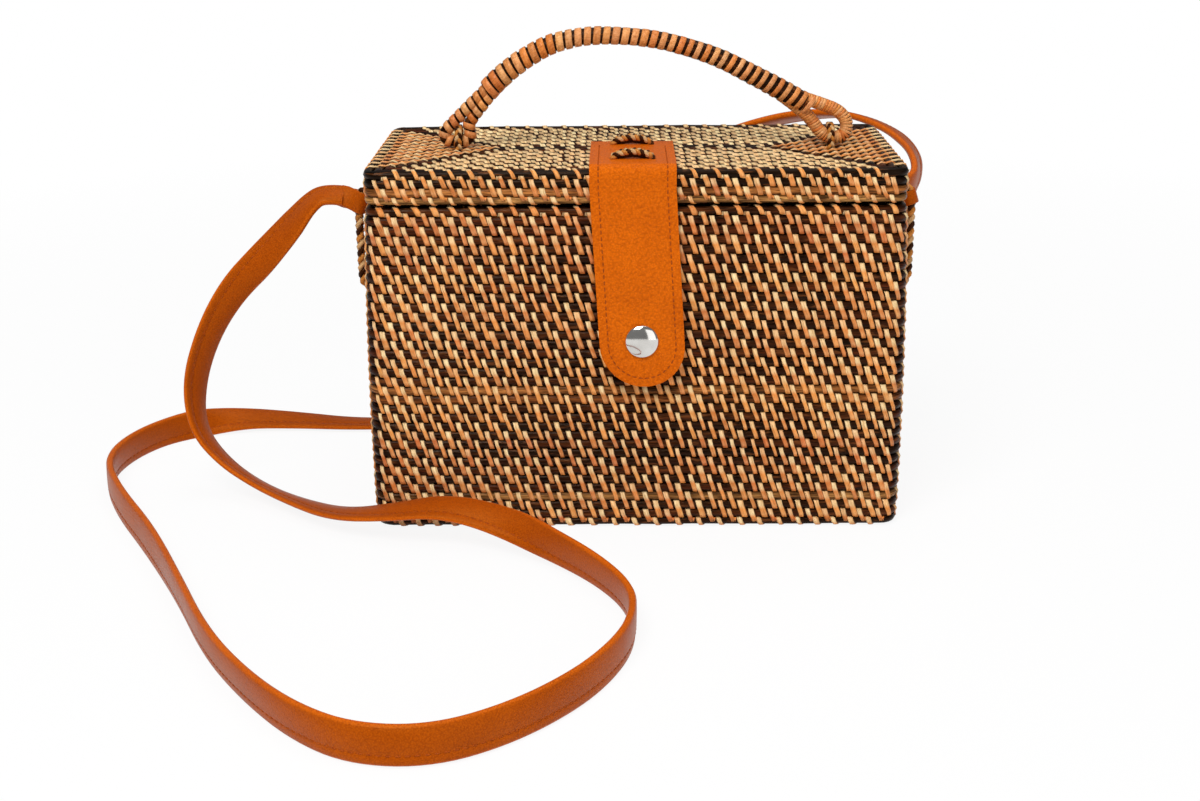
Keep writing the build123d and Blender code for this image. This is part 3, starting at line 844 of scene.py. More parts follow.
def lay_rods(name, chain, seed, body, replaced):
    """Rods of a chain as one piece, with painted shade in the grooves between them."""
    rng = np.random.default_rng(seed)
    paths = [ring(rod.away, rod.up, rng) for rod in chain]
    made = []
    for index, (path, rod) in enumerate(zip(paths, chain)):
        made.append(tubes(f"{name}_{index}", [path], rod.radius, 8, True))
    for obj, rod in zip(made, chain):
        strand = np.empty(len(obj.data.vertices) * 3, np.float32)
        obj.data.attributes["strand"].data.foreach_get("vector", strand)
        facing = np.abs(strand.reshape(-1, 3)[:, 2 if rod.out[0] else 1] / rod.radius)
        shade = rod_colour(rod.tone) * rng.uniform(0.85, 1.15) * ROD_TINT ** rng.uniform(-0.2, 1)
        # Painted shade: each rod's colour falls towards black where it turns towards its neighbours, in the
        # grooves between rods
        paint(obj.data, shade * (0.03 + 0.97 * facing[:, None] ** 2.5))
    return finish_piece(join(made, name), rod_finish(), body, replaced)


def model_strip(columns, rows):
    """One binding strip: a flat grid with its long edges turned down and its ends drawn in."""
    deselect()
    bpy.ops.mesh.primitive_grid_add(x_subdivisions=columns, y_subdivisions=rows, size=1, location=(0, 0, 0))
    strip = bpy.context.view_layer.objects.active
    bpy.ops.object.transform_apply(location=True, rotation=True, scale=True)
    pick(strip, lambda co: abs(co.x) > 0.49)
    bpy.ops.transform.translate(value=(0, 0, -1.0))
    if columns > 2:
        pick(strip, lambda co: 0.2 < abs(co.x) < 0.3)
        bpy.ops.transform.resize(value=(1.45, 1, 1))
        bpy.ops.transform.translate(value=(0, 0, -0.16))
    pick(strip, lambda co: abs(co.y) > 0.49)
    bpy.ops.transform.resize(value=(0.86, 1, 1))
    bpy.ops.object.mode_set(mode="OBJECT")
    return strip


def half_steps(half_length):
    """Places of the strips' columns, by number from the middle out. A long side's close up to its ends."""
    places = {0: 0.0}
    step, place = 0, 0.0
    while place < half_length:
        spread = cos(pi / 2 * min(1, place / HALF_X)) ** 2
        place += (COLUMN_PITCH + (COLUMN_SPREAD * spread if half_length > HALF_X else COLUMN_EXTRA)) * MM
        step += 1
        places[step] = place
        places[-step] = -place
    return places


def strip_knots(rods, index, thickness, side):
    """Seven points from groove to groove over two rods, outside (1) or inside (-1), and their ways out."""
    low, high = rods[index], rods[index + 1]
    low_spot, high_spot = np.array(low[:2]), np.array(high[:2])
    low_out, high_out = np.array(low.out, float) * side, np.array(high.out, float) * side
    along = high_spot - low_spot
    along = along / np.linalg.norm(along)
    before = (np.array(rods[index - 1][:2]) + low_spot) / 2 if index else low_spot - along * low.radius
    after = high_spot + along * high.radius
    if index + 2 < len(rods):
        after = (high_spot + np.array(rods[index + 2][:2])) / 2
    if side > 0 and abs(low_out @ high_out) < 0.5:
        return edge_knots(low, high, before, after)
    low_side = np.array((-low_out[1], low_out[0]))
    low_side = low_side * np.sign(low_side @ (low_spot - before))
    high_side = np.array((-high_out[1], high_out[0]))
    high_side = high_side * np.sign(high_side @ (after - high_spot))
    lift_low, lift_high = low.radius + thickness, high.radius + thickness
    middle_out = low_out + high_out
    middle_out = middle_out / np.linalg.norm(middle_out)
    turn = radians(48)
    knots = [
        before + low_out * GROOVE_SHARE * low.radius,
        low_spot + lift_low * (cos(turn) * low_out - sin(turn) * low_side),
        low_spot + lift_low * low_out,
        (low_spot + high_spot) / 2 + middle_out * (0.78 * low.radius + thickness),
        high_spot + lift_high * high_out,
        high_spot + lift_high * (cos(turn) * high_out + sin(turn) * high_side),
        after + high_out * GROOVE_SHARE * high.radius,
    ]
    outs = [low_out, low_out, low_out, middle_out, high_out, high_out, high_out]
    return np.array(knots), np.array(outs)


def edge_knots(low, high, before, after):
    """The same seven points where the two rods meet at an edge, and the strip turns round the outer one."""
    pair = [np.array(rod[:2]) for rod in (low, high)]
    outs = [np.array(rod.out, float) for rod in (low, high)]
    lift = low.radius + bpy.context.scene.box_bag_sizes.strip_thickness
    first = 0 if abs(outs[0][0]) > 0.5 else 1
    turns = [cos(radians(a)) * outs[first] + sin(radians(a)) * outs[1 - first] for a in (-40, 5, 50, 95)]
    knots = [pair[first] + lift * turn for turn in turns] + [pair[1 - first] + lift * outs[1 - first]]
    ways = turns + [outs[1 - first]]
    if first:
        knots, ways = knots[::-1], ways[::-1]
    ends = [before + outs[0] * GROOVE_SHARE * low.radius, after + outs[1] * GROOVE_SHARE * low.radius]
    return np.array([ends[0], *knots, ends[1]]), np.array([ways[0], *ways, ways[-1]])


def round_corner(aside, offset, half):
    """Places along a side, bent round its corners: the way along the side and the way past its face."""
    straight = half - CORNER
    turn = np.maximum(CORNER + offset, CORNER_LEAST_TURN)
    angle = np.minimum(np.maximum(np.abs(aside) - straight, 0) / turn, CORNER_ANGLE)
    along = np.minimum(np.abs(aside), straight) + turn * np.sin(angle)
    return np.sign(aside) * along, turn * np.cos(angle) - CORNER


def strip_reach(half, offset, side, flat):
    """How far from the middle of a side its strips may sit."""
    if side > 0 and offset > -CORNER / 2:
        return half - CORNER + (CORNER + offset) * 0.72
    if side < 0 and not flat:
        return half - CORNER
    return half + offset - STRIP_END


def strip_colours(rng, row_tone, share, across, painted_top_sheen):
    """Colours over one strip: its own tone, a painted highlight on its crests and, on the lid's top, a
    painted sheen, and painted shade at its edges and ends.
    """
    colours = bpy.context.scene.box_bag_colours
    tone = np.clip(row_tone + rng.normal(0, 0.16), 0, 1)
    base = mix3(colours.strip_deep, colours.strip, tone) * rng.uniform(0.84, 1.06)
    base = base * STRIP_TINT ** rng.uniform(-0.6, 1.0)
    # Painted sheen: flat strips on the lid's top are mixed towards the pale colour, for the light they catch
    # there
    if painted_top_sheen:
        base = mix3(base, colours.strip_pale_and_highlight, 0.6)
    # Painted highlight: the crests, most of all the upper one, are mixed towards the pale colour where light
    # from above falls on them
    highlight_colour = mix3(base, colours.strip_pale_and_highlight, rng.uniform(0.5, 1.0))
    crest_highlight = np.exp(-((share - 0.8) / 0.16) ** 2) + 0.25 * np.exp(-((share - 0.3) / 0.14) ** 2)
    # Painted shade: the turned-down long edges and the ends that dive into the grooves are darkened
    edge = np.where(np.abs(across) > 0.4, 0.25, 1.0) * np.where((share < 0.05) | (share > 0.95), 0.3, 1.0)
    return mix3(base, highlight_colour, crest_highlight) * edge[:, None]


def lay_strips(name, chain, side, strip, body, seed, first_row, flat_scale=1.0):
    """Strips over each pair of neighbouring rods, in a brick pattern of upright columns, on all sides."""
    sizes = bpy.context.scene.box_bag_sizes
    rng = np.random.default_rng(seed)
    source = coords(strip.data)
    rows = sorted({round(v, 4) for v in source[:, 1]})
    keep = np.arange(7) if len(rows) == 7 else np.array((0, 2, 3, 4, 6))
    level = keep[[rows.index(round(v, 4)) for v in source[:, 1]]]
    share = STRIP_SHARES[level]
    columns = {half: half_steps(half + COLUMN_OVERRUN) for half in (HALF_X, HALF_Y)}
    places, tones = [], []
    for index in range(len(chain) - 1):
        knots, outs = strip_knots(chain, index, sizes.strip_thickness, side)
        flat = abs(outs[3][1]) > 0.9
        row_scale = flat_scale if flat else 1
        row_width = sizes.strip_width * row_scale * rng.choice(STRIP_WIDTHS, p=STRIP_WIDTH_ODDS)
        row_tone = rng.choice(STRIP_TONES, p=STRIP_TONE_ODDS)
        offset = min(chain[index].away, chain[index + 1].away)
        for right, out, half, away in SIDES:
            right, out = np.array(right, float), np.array(out, float)
            reach = strip_reach(half, offset, side, flat)
            for number, place in columns[half].items():
                if (number + index + first_row) % 2 or abs(place) > reach:
                    continue
                scale = END_STRIP_SCALE if flat and half == HALF_Y else 1
                width = row_width * rng.uniform(0.84, 1.14) * scale
                lean = sizes.strip_slant * rng.uniform(0.85, 1.15) * (FLAT_SLANT_SCALE if flat else 1)
                place = place + rng.normal(0, STRIP_PLAY)
                lift = rng.uniform(-STRIP_LIFT, STRIP_LIFT) * MM
                spot = knots[level] + outs[level] * (source[:, 2] * STRIP_EDGE * MM + lift)[:, None]
                aside, beyond = place + source[:, 0] * width + lean * (0.5 - share) * side, spot[:, 0]
                if side > 0 and not flat:
                    aside, beyond = round_corner(aside, beyond, half)
                xy = right[None, :2] * aside[:, None] + out[None, :2] * (away + beyond)[:, None]
                places.append(np.column_stack([xy, np.maximum(spot[:, 1], STRIP_FLOOR)]))
                # Flat strips along the long sides of the lid's top get the painted sheen
                tones.append(strip_colours(rng, row_tone, share, source[:, 0], flat and half == HALF_X))
    obj = copies(name, strip.data, np.array(places), np.array(tones))
    return finish_piece(obj, strip_finish(), body)


def weave(prefix, chain, rim, body, seed, replaced):
    """Rods, outer strips and inner strips of the basket or the lid."""
    lay_rods(f"{prefix}_rods", chain, seed, body, replaced)
    over = model_strip(4, 6)
    inner = model_strip(2, 4)
    lay_strips(f"{prefix}_strips", rim, 1, over, body, seed + 1, seed % 2, FLAT_STRIP_SCALE)
    lay_strips(f"{prefix}_inner_strips", chain, -1, inner, body, seed + 2, seed % 2 + 1)
    remove(over)
    remove(inner)


class BOXBAG_OT_basket(bpy.types.Operator):
    """Coil the basket's rods and bind them with strips"""

    bl_idname = "boxbag.basket"
    bl_label = "Basket Weave"

    def execute(self, context):
        sizes = context.scene.box_bag_sizes
        chain = body_chain(sizes.rod_radius)
        last = chain[-1]
        rim = Rod(last.away - RIM_INSET_SHARE * last.radius, last.up - RIM_SHIFT, (0, 1), last.radius, 0)
        weave("basket", chain, chain + [rim], "basket", sizes.seed, ("basket_shell",))
        return {"FINISHED"}


class BOXBAG_OT_lid(bpy.types.Operator):
    """Coil the lid's rods and bind them with strips"""

    bl_idname = "boxbag.lid"
    bl_label = "Lid Weave"

    def execute(self, context):
        sizes = context.scene.box_bag_sizes
        chain = lid_chain(sizes.rod_radius)
        first = chain[0]
        rim = Rod(first.away - RIM_INSET_SHARE * first.radius, first.up + RIM_SHIFT, (0, -1), first.radius, 0)
        weave("lid", chain, [rim] + chain, "lid", sizes.seed + 10, ("lid_shell",))
        return {"FINISHED"}


def braid(name, path, across, plait, body, replaced, below=()):
    """Three strands plaited along a path. Dark strands may run below it."""
    distance = distances(path)
    samples = np.linspace(0, distance[-1], max(24, int(distance[-1] / PLAIT_STEP)))
    line = read_at(samples, distance, path)
    heading = tangents(line)
    across = np.tile(np.array(across, float), (len(line), 1))
    across = unit(across - heading * np.sum(across * heading, axis=1)[:, None])
    out = np.cross(heading, across)
    strands = []
    for number in range(3):
        phase = 2 * pi * samples / plait.length + 2 * pi * number / 3
        aside = plait.width * np.sin(phase)
        lift = plait.depth * np.sin(2 * phase)
        strands.append(line + across * aside[:, None] + out * lift[:, None])
    strands += [line - out * drop for drop in below]
    obj = tubes(name, strands, plait.radius, 6)
    count = len(obj.data.vertices) // len(strands)
    colours = bpy.context.scene.box_bag_colours
    shades = [
        rod_colour(0.12), np.array(colours.strip) * 0.75, mix3(colours.strip, colours.strip_pale_and_highlight, 0.5) * 0.9,
    ]
    shades += [rod_colour(0.1)] * len(below)
    paint(obj.data, np.repeat(np.array(shades), count, axis=0))
    return finish_piece(obj, cord_finish(), body, replaced)


class BOXBAG_OT_braids(bpy.types.Operator):
    """Plait the strap loops, the handle rings and the ties of the flap and the hinge"""

    bl_idname = "boxbag.braids"
    bl_label = "Braids and Ties"

    def execute(self, context):
        for side, word in ((-1, "left"), (1, "right")):
            path = smooth_line([(side * x, 0, z) for x, z in LOOP_SHAPE])
            braid(f"strap_loop_braid_{word}", path, (0, 1, 0), LOOP_PLAIT, "basket", (f"strap_loop_{word}",))
        for x, word in RING_PLACES:
            arch = [
                (x, RING_RADIUS * cos(a), RING_CENTRE + RING_RADIUS * sin(a)) for a in np.linspace(pi, 0, 9)
            ]
            path = np.array([(x, -RING_RADIUS, RING_ROOT), *arch, (x, RING_RADIUS, RING_ROOT)]) * MM
            braid(f"handle_ring_braid_{word}", path, (1, 0, 0), RING_PLAIT, "lid", (f"handle_ring_{word}",))
        for y, word in TIE_PLACES:
            path = smooth_line([(x, y, z) for x, z in TIE_ARCH])
            name, replaced = f"flap_tie_braid_{word}", (f"flap_tie_{word}",)
            braid(name, path, (0, 1, 0), TIE_PLAIT, "lid", replaced, (TIE_BACKING,))
        for x, word in LASHING_PLACES:
            self.lash(x, word)
        return {"FINISHED"}

    def lash(self, x, word):
        """Turns of cord side by side round the rims of basket and lid."""
        reach = LASHING_RADIUS * MM
        turns = []
        for turn in range(len(LASHING_TONES)):
            place = (x + (turn - 1.5) * LASHING_PITCH) * MM
            turns.append([
                (place, LASHING_Y * MM + reach * cos(a), LASHING_Z * MM + reach * sin(a))
                for a in np.linspace(0, 2 * pi, 25)[:-1]
            ])
        obj = tubes(f"hinge_lashing_{word}", turns, LASHING_CORD * MM, 6, True)
        shades = np.array([rod_colour(tone) for tone in LASHING_TONES])
        paint(obj.data, np.repeat(shades, len(obj.data.vertices) // len(LASHING_TONES), axis=0))
        finish_piece(obj, cord_finish(), "basket", (f"hinge_tie_{word}",))


def band_template():
    """Points and faces of one turn of the strip, in (angle, along, lift) form."""
    angles = [2 * pi * i / BAND_AROUND for i in range(BAND_AROUND)]
    points = [(angle, along, lift) for angle in angles for along, lift in BAND_PROFILE]
    size = len(BAND_PROFILE)
    faces = []
    for i in range(BAND_AROUND):
        for j in range(size - 1):
            a, b = i * size + j, ((i + 1) % BAND_AROUND) * size + j
            faces.append((a, b, b + 1, a + 1))
    mesh = bpy.data.meshes.new("band")
    mesh.from_pydata(points, [], faces)
    return mesh


def wind(name, line, radius_at, pitch_at, cover_at, winding, replaced, rng):
    """Bands side by side along a line, as the turns of one strip, with painted shade at the edges of each
    band.
    """
    colours = bpy.context.scene.box_bag_colours
    heading = tangents(line)
    distance = distances(line)
    template = band_template()
    angle, place, lift = coords(template).T
    # Painted shade at the edges of each band, where the turns meet; deeper the more the turns stand out
    edge = np.where(np.abs(place) > 0.47, 1 - 0.5 * winding.relief, 1.0)
    side = np.array((0.0, 1.0, 0.0))
    places, tones = [], []
    at = 0.5 * pitch_at(0)
    while at < distance[-1]:
        share = at / distance[-1]
        radius = radius_at(share) * rng.uniform(0.985, 1.015)
        width = pitch_at(share) * cover_at(share) * rng.uniform(0.94, 1.04)
        spot = read_at(at, distance, line)[0]
        along = unit(read_at(at, distance, heading))[0]
        up = np.cross(along, side)
        up /= np.linalg.norm(up)
        reach = radius + lift * winding.relief * BAND_DEPTH * MM
        slide = place * width + winding.tilt * radius * np.sin(angle)
        outward = side * np.cos(angle)[:, None] + up * np.sin(angle)[:, None]
        places.append(spot + along * slide[:, None] + outward * reach[:, None])
        band_tone = np.clip(winding.tone + rng.normal(0, 0.18), 0, 1)
        base = mix3(colours.strip_deep, colours.strip, band_tone) * rng.uniform(0.8, 1.04)
        base = mix3(base, colours.strip_pale_and_highlight, rng.uniform(0, 0.3))
        tones.append(base[None, :] * edge[:, None])
        at += pitch_at(share)
    obj = copies(name, template, np.array(places), np.array(tones))
    bpy.data.meshes.remove(template)
    return finish_piece(obj, strip_finish(), "handle", replaced)


class BOXBAG_OT_handle(bpy.types.Operator):
    """Bend the handle's cane, fold its ends into loops and bind it with strip"""

    bl_idname = "boxbag.handle"
    bl_label = "Handle"

    def execute(self, context):
        rng = np.random.default_rng(context.scene.box_bag_sizes.seed + 30)
        grip = through([(x * MM, 0, z * MM) for x, z in GRIP_POINTS])
        left = smooth_line([(x, 0, z) for x, z in LEFT_LOOP], 12)
        right = smooth_line([(x, 0, z) for x, z in RIGHT_LOOP], 12)
        shares, radii = zip(*GRIP_RADII)

        def grip_radius(share):
            return np.interp(share, shares, radii) * MM

        def grip_pitch(share):
            return (3.75 if share < 0.55 else 3.55) * MM

        def grip_cover(share):
            return 0.78 if share < 0.5 else (0.76 - 0.18 * min(1, (share - 0.5) / 0.25))

        inner = [grip_radius(share) - WRAP_DEPTH * MM for share in np.linspace(0, 1, len(grip))]
        cores = [
            tubes("grip_core", [grip[1:-2]], 1.0, 12, tapered=inner[1:-2]),
            tubes("left_core", [left], LEFT_CORE * MM, 10),
            tubes("right_core", [right], RIGHT_CORE * MM, 10),
        ]
        for core in cores:
            paint(core.data, np.tile(rod_colour(0.08), (len(core.data.vertices), 1)))
        finish_piece(join(cores, "handle_cane"), rod_finish(), "handle", ("handle_core",))
        bound = ("handle_wrap",)
        wind("handle_binding", grip, grip_radius, grip_pitch, grip_cover, GRIP_WINDING, bound, rng)
        self.bind_loop("left_loop_binding", left, LEFT_TURNS, LEFT_WINDING, rng)
        self.bind_loop("right_loop_binding", right, RIGHT_TURNS, RIGHT_WINDING, rng)
        return {"FINISHED"}

    def bind_loop(self, name, line, turns, winding, rng):
        """Even turns of strip along a loop."""
        radius, pitch, cover = turns
        wind(
            name, line, lambda share: radius * MM, lambda share: pitch * MM, lambda share: cover,
            winding, (), rng,
        )


def model_stitch():
    """One stitch: a short thread lying on the surface, its ends turned in; along X, up Z, of unit length."""
    deselect()
    bpy.ops.mesh.primitive_cylinder_add(
        vertices=6, radius=0.17, depth=1.0, rotation=(0, pi / 2, 0), location=(0, 0, 0)
    )
    stitch = bpy.context.view_layer.objects.active
    bpy.ops.object.transform_apply(location=True, rotation=True, scale=True)
    bpy.ops.object.mode_set(mode="EDIT")
    for x in (0.25, -0.25):
        bpy.ops.mesh.select_all(action="SELECT")
        bpy.ops.mesh.bisect(plane_co=(x, 0, 0), plane_no=(1, 0, 0))
    pick(stitch, lambda co: abs(co.x) > 0.4)
    bpy.ops.transform.translate(value=(0, 0, -0.14))
    bpy.ops.object.mode_set(mode="OBJECT")
    return stitch


def lay_stitches(name, spots, ups, length):
    """A stitch at each spot, lying along the row of spots."""
    stitch = model_stitch()
    source = coords(stitch.data) * length
    headings = tangents(spots)
    sides = np.cross(ups, headings)
    places = (
        spots[:, None] + headings[:, None] * source[None, :, :1] + sides[:, None] * source[None, :, 1:2]
        + ups[:, None] * source[None, :, 2:]
    )
    obj = copies(name, stitch.data, places)
    remove(stitch)
    return obj


def spaced(line, pitch, others):
    """Even places along a line, with the other values read at the same places."""
    distance = distances(line)
    marks = np.arange(pitch, distance[-1] - pitch / 2, pitch)
    return read_at(marks, distance, line), read_at(marks, distance, others)


def flap_place(across, along, lift):
    """A point of the flap, in millimetres across from its middle, along from its rear and above its back."""
    if along < FLAP_RUN:
        return (FLAP_SHIFT + across, FLAP_REAR - along, FLAP_TOP + FLAP_GAP + lift)
    if along < FLAP_RUN + FLAP_ARC:
        angle = (along - FLAP_RUN) / (FLAP_BEND + LEATHER / 2)
        reach = FLAP_BEND + lift
        height = FLAP_TOP - FLAP_BEND + FLAP_GAP * cos(angle) + reach * cos(angle)
        return (FLAP_SHIFT + across, FLAP_FLAT_END - reach * sin(angle), height)
    down = along - FLAP_RUN - FLAP_ARC
    if down < FLAP_DROP:
        return (FLAP_SHIFT + across, FLAP_FLAT_END - FLAP_BEND - lift, FLAP_TOP - FLAP_BEND - down)
    below = down - FLAP_DROP
    y = FLAP_FACE_Y + LEATHER - lift - below * sin(FLAP_SLOPE)
    return (FLAP_SHIFT + across + below * FLAP_SKEW, y, FLAP_FOLD_Z - below * cos(FLAP_SLOPE))


def flap_row(share):
    """Distance along the flap and half width at a share of its rows; the rows close up round the tip."""
    straight = FLAP_TOTAL - FLAP_HALF
    if share < FLAP_TIP_SHARE:
        return share / FLAP_TIP_SHARE * straight, FLAP_HALF
    angle = (share - FLAP_TIP_SHARE) / (1 - FLAP_TIP_SHARE) * pi / 2 * 0.985
    return straight + FLAP_HALF * sin(angle), FLAP_HALF * cos(angle)


class BOXBAG_OT_flap(bpy.types.Operator):
    """Cut and stitch the leather flap"""

    bl_idname = "boxbag.flap"
    bl_label = "Leather Flap"

    def execute(self, context):
        deselect()
        bpy.ops.mesh.primitive_grid_add(x_subdivisions=14, y_subdivisions=90, size=2, location=(0, 0, 0))
        flap = bpy.context.view_layer.objects.active
        flap.name = "flap_leather"
        bpy.ops.object.transform_apply(location=True, rotation=True, scale=True)
        placed = []
        for across, up, _ in coords(flap.data):
            along, half = flap_row((1 - up) / 2)
            placed.append(flap_place(across * half, along, LEATHER))
        set_coords(flap.data, np.array(placed) * MM)
        flap.data.update()
        activate(flap)
        face_outwards()
        middle = flap.data.polygons[len(flap.data.polygons) // 2]
        outward = middle.normal.y < 0 or middle.normal.z > 0.5
        thicken(flap, LEATHER * MM, -1 if outward else 1, FLAP_EDGE * MM, 3)
        face_outwards()
        bpy.ops.object.shade_smooth_by_angle(angle=radians(50))
        colours = context.scene.box_bag_colours
        flap.data.materials.append(shared("flap_hide", leather_material, colours.flap, 1250.0, 0.85, 0.0))
        for obj in (flap, self.stitches(context)):
            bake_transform(obj)
        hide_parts("flap_anchor", "flap_tongue")
        return {"FINISHED"}

    def stitches(self, context):
        """Stitches along both long edges and round the tip."""
        half = FLAP_HALF - SEAM_INSET
        straight = FLAP_TOTAL - FLAP_HALF
        outline = [(-half, along) for along in np.arange(SEAM_START, straight, 1.0)]
        outline += [(-half * cos(a), straight + half * sin(a)) for a in np.linspace(0, pi, 40)]
        outline += [(half, along) for along in np.arange(straight, SEAM_START, -1.0)]
        line = np.array([flap_place(u, s, LEATHER - 0.02) for u, s in outline]) * MM
        upper = np.array([flap_place(u, s, LEATHER + 1) for u, s in outline]) * MM
        spots, tops = spaced(line, context.scene.box_bag_sizes.stitch_pitch * 0.82, upper)
        obj = lay_stitches("flap_stitches", spots, unit(tops - spots), FLAP_STITCH * MM)
        obj.data.materials.append(thread_finish())
        return obj


class BOXBAG_OT_snap(bpy.types.Operator):
    """Turn the snap fastener's cap and plate its parts"""

    bl_idname = "boxbag.snap"
    bl_label = "Snap Fastener"

    def execute(self, context):
        deselect()
        bpy.ops.mesh.primitive_uv_sphere_add(segments=48, ring_count=24, radius=1, location=(0, 0, 0))
        cap = bpy.context.view_layer.objects.active
        cap.name = "snap_cap_dome"
        bpy.ops.object.mode_set(mode="EDIT")
        bpy.ops.mesh.select_all(action="SELECT")
        bpy.ops.mesh.bisect(plane_co=(0, 0, CAP_CUT_SHARE), plane_no=(0, 0, 1), clear_inner=True)
        bpy.ops.mesh.select_all(action="DESELECT")
        bpy.ops.object.mode_set(mode="OBJECT")
        spot = coords(cap.data)
        spot[:, :2] *= CAP_RADIUS / sqrt(1 - CAP_CUT_SHARE ** 2)
        spot[:, 2] = CAP_RIM + (spot[:, 2] - CAP_CUT_SHARE) / (1 - CAP_CUT_SHARE) * CAP_RISE
        set_coords(cap.data, spot * MM)
        activate(cap)
        pick(cap, lambda co: co.z < (CAP_RIM + 0.01) * MM)
        bpy.ops.mesh.select_mode(type="EDGE")
        bpy.ops.mesh.extrude_region_move(TRANSFORM_OT_translate={"value": (0, 0, -(CAP_RIM + 0.03) * MM)})
        bpy.ops.object.mode_set(mode="OBJECT")
        bpy.ops.object.shade_smooth_by_angle(angle=radians(60))
        turn = Matrix.Rotation(pi / 2, 4, "X")
        slope = Matrix.Rotation(-FLAP_SLOPE, 4, "X")
        fold = Matrix.Translation((0, FLAP_FACE_Y * MM, FLAP_FOLD_Z * MM))
        place = Matrix.Translation(((FLAP_SHIFT + SNAP_DROP * FLAP_SKEW) * MM, 0, -SNAP_DROP * MM))
        cap.data.transform(fold @ slope @ place @ turn)
        cap.data.update()
        metal = shared("nickel", metal_material)
        finish_piece(cap, metal, "flap", ("snap_cap",))
        for node in ("snap_socket", "snap_stud", "snap_post"):
            part = bpy.data.objects[node]
            part.data.materials.clear()
            part.data.materials.append(metal)
        return {"FINISHED"}


class BOXBAG_OT_strap(bpy.types.Operator):
    """Lay the shoulder strap along its route and sew its eyes"""

    bl_idname = "boxbag.strap"
    bl_label = "Shoulder Strap"

    def execute(self, context):
        sizes = context.scene.box_bag_sizes
        colours = context.scene.box_bag_colours
        half, thick = sizes.strap_width / 2, sizes.strap_thickness / 2
        leather = shared("strap_hide", leather_material, colours.strap, 1900.0, 0.2, 0.02)
        points = [tuple(value * MM for value in point) for point, _ in STRAP_ROUTE]
        line = read_spline(points, STRAP_STEPS)
        width, face = self.faces(points, line)
        strap = self.ribbon(line, width * half, face * thick)
        finish_piece(strap, leather, "basket", ("shoulder_strap",))
        aside, out = STRAP_SEAM_SHARES
        for side, word in ((1, "inner"), (-1, "outer")):
            seam = line + width * (half * aside) + face * (thick * out * side)
            spots, ups = spaced(seam, sizes.stitch_pitch, face * side)
            obj = lay_stitches(f"strap_stitches_{word}", spots, unit(ups), STRAP_STITCH)
            finish_piece(obj, thread_finish(), "basket")
        left_way = (-cos(EYE_LEAN), 0, sin(EYE_LEAN))
        eyes = [
            self.eye(leather, -1, left_way, "left", radians(44), (3.4, 3.4, 3.2), (5.2, 5.4, 5.6)),
            self.eye(leather, 1, (0, 1, 0), "right", 0, (1.2, 1.6, 4.4), (4.4, 4.8, 6.2)),
        ]
        return {"FINISHED"}

    def faces(self, points, line):
        """Directions across the strap and out of its inner face, at each point of its line."""
        looks = [np.array(look, float) / np.linalg.norm(look) for _, look in STRAP_ROUTE]
        ahead = [tuple(np.array(point) + look * STRAP_LOOK) for point, look in zip(points, looks)]
        heading = tangents(line)
        width = unit(np.cross(heading, read_spline(ahead, STRAP_STEPS) - line))
        return width, np.cross(width, heading)

    def ribbon(self, line, aside, out):
        """The strap's section laid along its line, narrower at its start, with its edges marked."""
        drawn = np.interp(distances(line), (0, STRAP_DRAWN), (STRAP_DRAWN_SHARE, 1.0))[:, None]
        rings = np.stack([line + aside * drawn * u + out * h for u, h in STRAP_SECTION], axis=1)
        count, size = rings.shape[:2]
        quads = [
            (i * size + j, i * size + (j + 1) % size, (i + 1) * size + (j + 1) % size, (i + 1) * size + j)
            for i in range(count - 1) for j in range(size)
        ]
        quads += [tuple(range(size))[::-1], tuple((count - 1) * size + j for j in range(size))]
        mesh = bpy.data.meshes.new("strap_leather")
        mesh.from_pydata(rings.reshape(-1, 3).tolist(), [], quads)
        strap = link("strap_ribbon", mesh)
        activate(strap)
        face_outwards()
        bpy.ops.object.shade_smooth_by_angle(angle=radians(60))
        edge = mesh.attributes.new("edge", "FLOAT", "POINT")
        marks = np.tile([0.8 * (abs(u) > 0.92) for u, _ in STRAP_SECTION], count)
        edge.data.foreach_set("value", marks.astype(np.float32))
        return strap

    def eye(self, leather, side, away, word, twist, low, high):
        """The strap's end turned round its loop and sewn back. Low and high are its reach to both edges."""
        centre = np.array((side * EYE_X, 0, EYE_Z))
        away = np.array(away, float)
        axis = np.array((-side * sin(EYE_LEAN), 0, cos(EYE_LEAN)))
        across = np.cross(axis, away)
        outline = [(EYE_LENGTH, 0.9), (6.0, 1.0)]
        outline += [
            (EYE_RADIUS * cos(a), EYE_RADIUS * sin(a)) for a in np.linspace(radians(42), radians(318), 22)
        ]
        outline += [(6.0, -1.0), (EYE_LENGTH, -0.9)]
        points = []
        for u, v in outline:
            turn = np.interp(u, (1.0, EYE_LENGTH), (0, twist))
            front = across * cos(turn) + axis * sin(turn)
            upward = axis * cos(turn) - across * sin(turn)
            for sign, reach in ((-1, low), (1, high)):
                half = np.interp(u, (-3.2, 1.0, EYE_LENGTH), reach)
                points.append(tuple((centre + away * u + front * v + upward * sign * half) * MM))
        quads = [(2 * i, 2 * i + 1, 2 * i + 3, 2 * i + 2) for i in range(len(outline) - 1)]
        mesh = bpy.data.meshes.new(f"strap_eye_leather_{word}")
        mesh.from_pydata(points, [], quads)
        obj = link(f"strap_eye_leather_{word}", mesh)
        activate(obj)
        thicken(obj, EYE_LEATHER * MM, 0, EYE_EDGE * MM, 2)
        bpy.ops.object.shade_smooth_by_angle(angle=radians(50))
        return finish_piece(obj, leather, "basket", (f"strap_eye_{word}",))


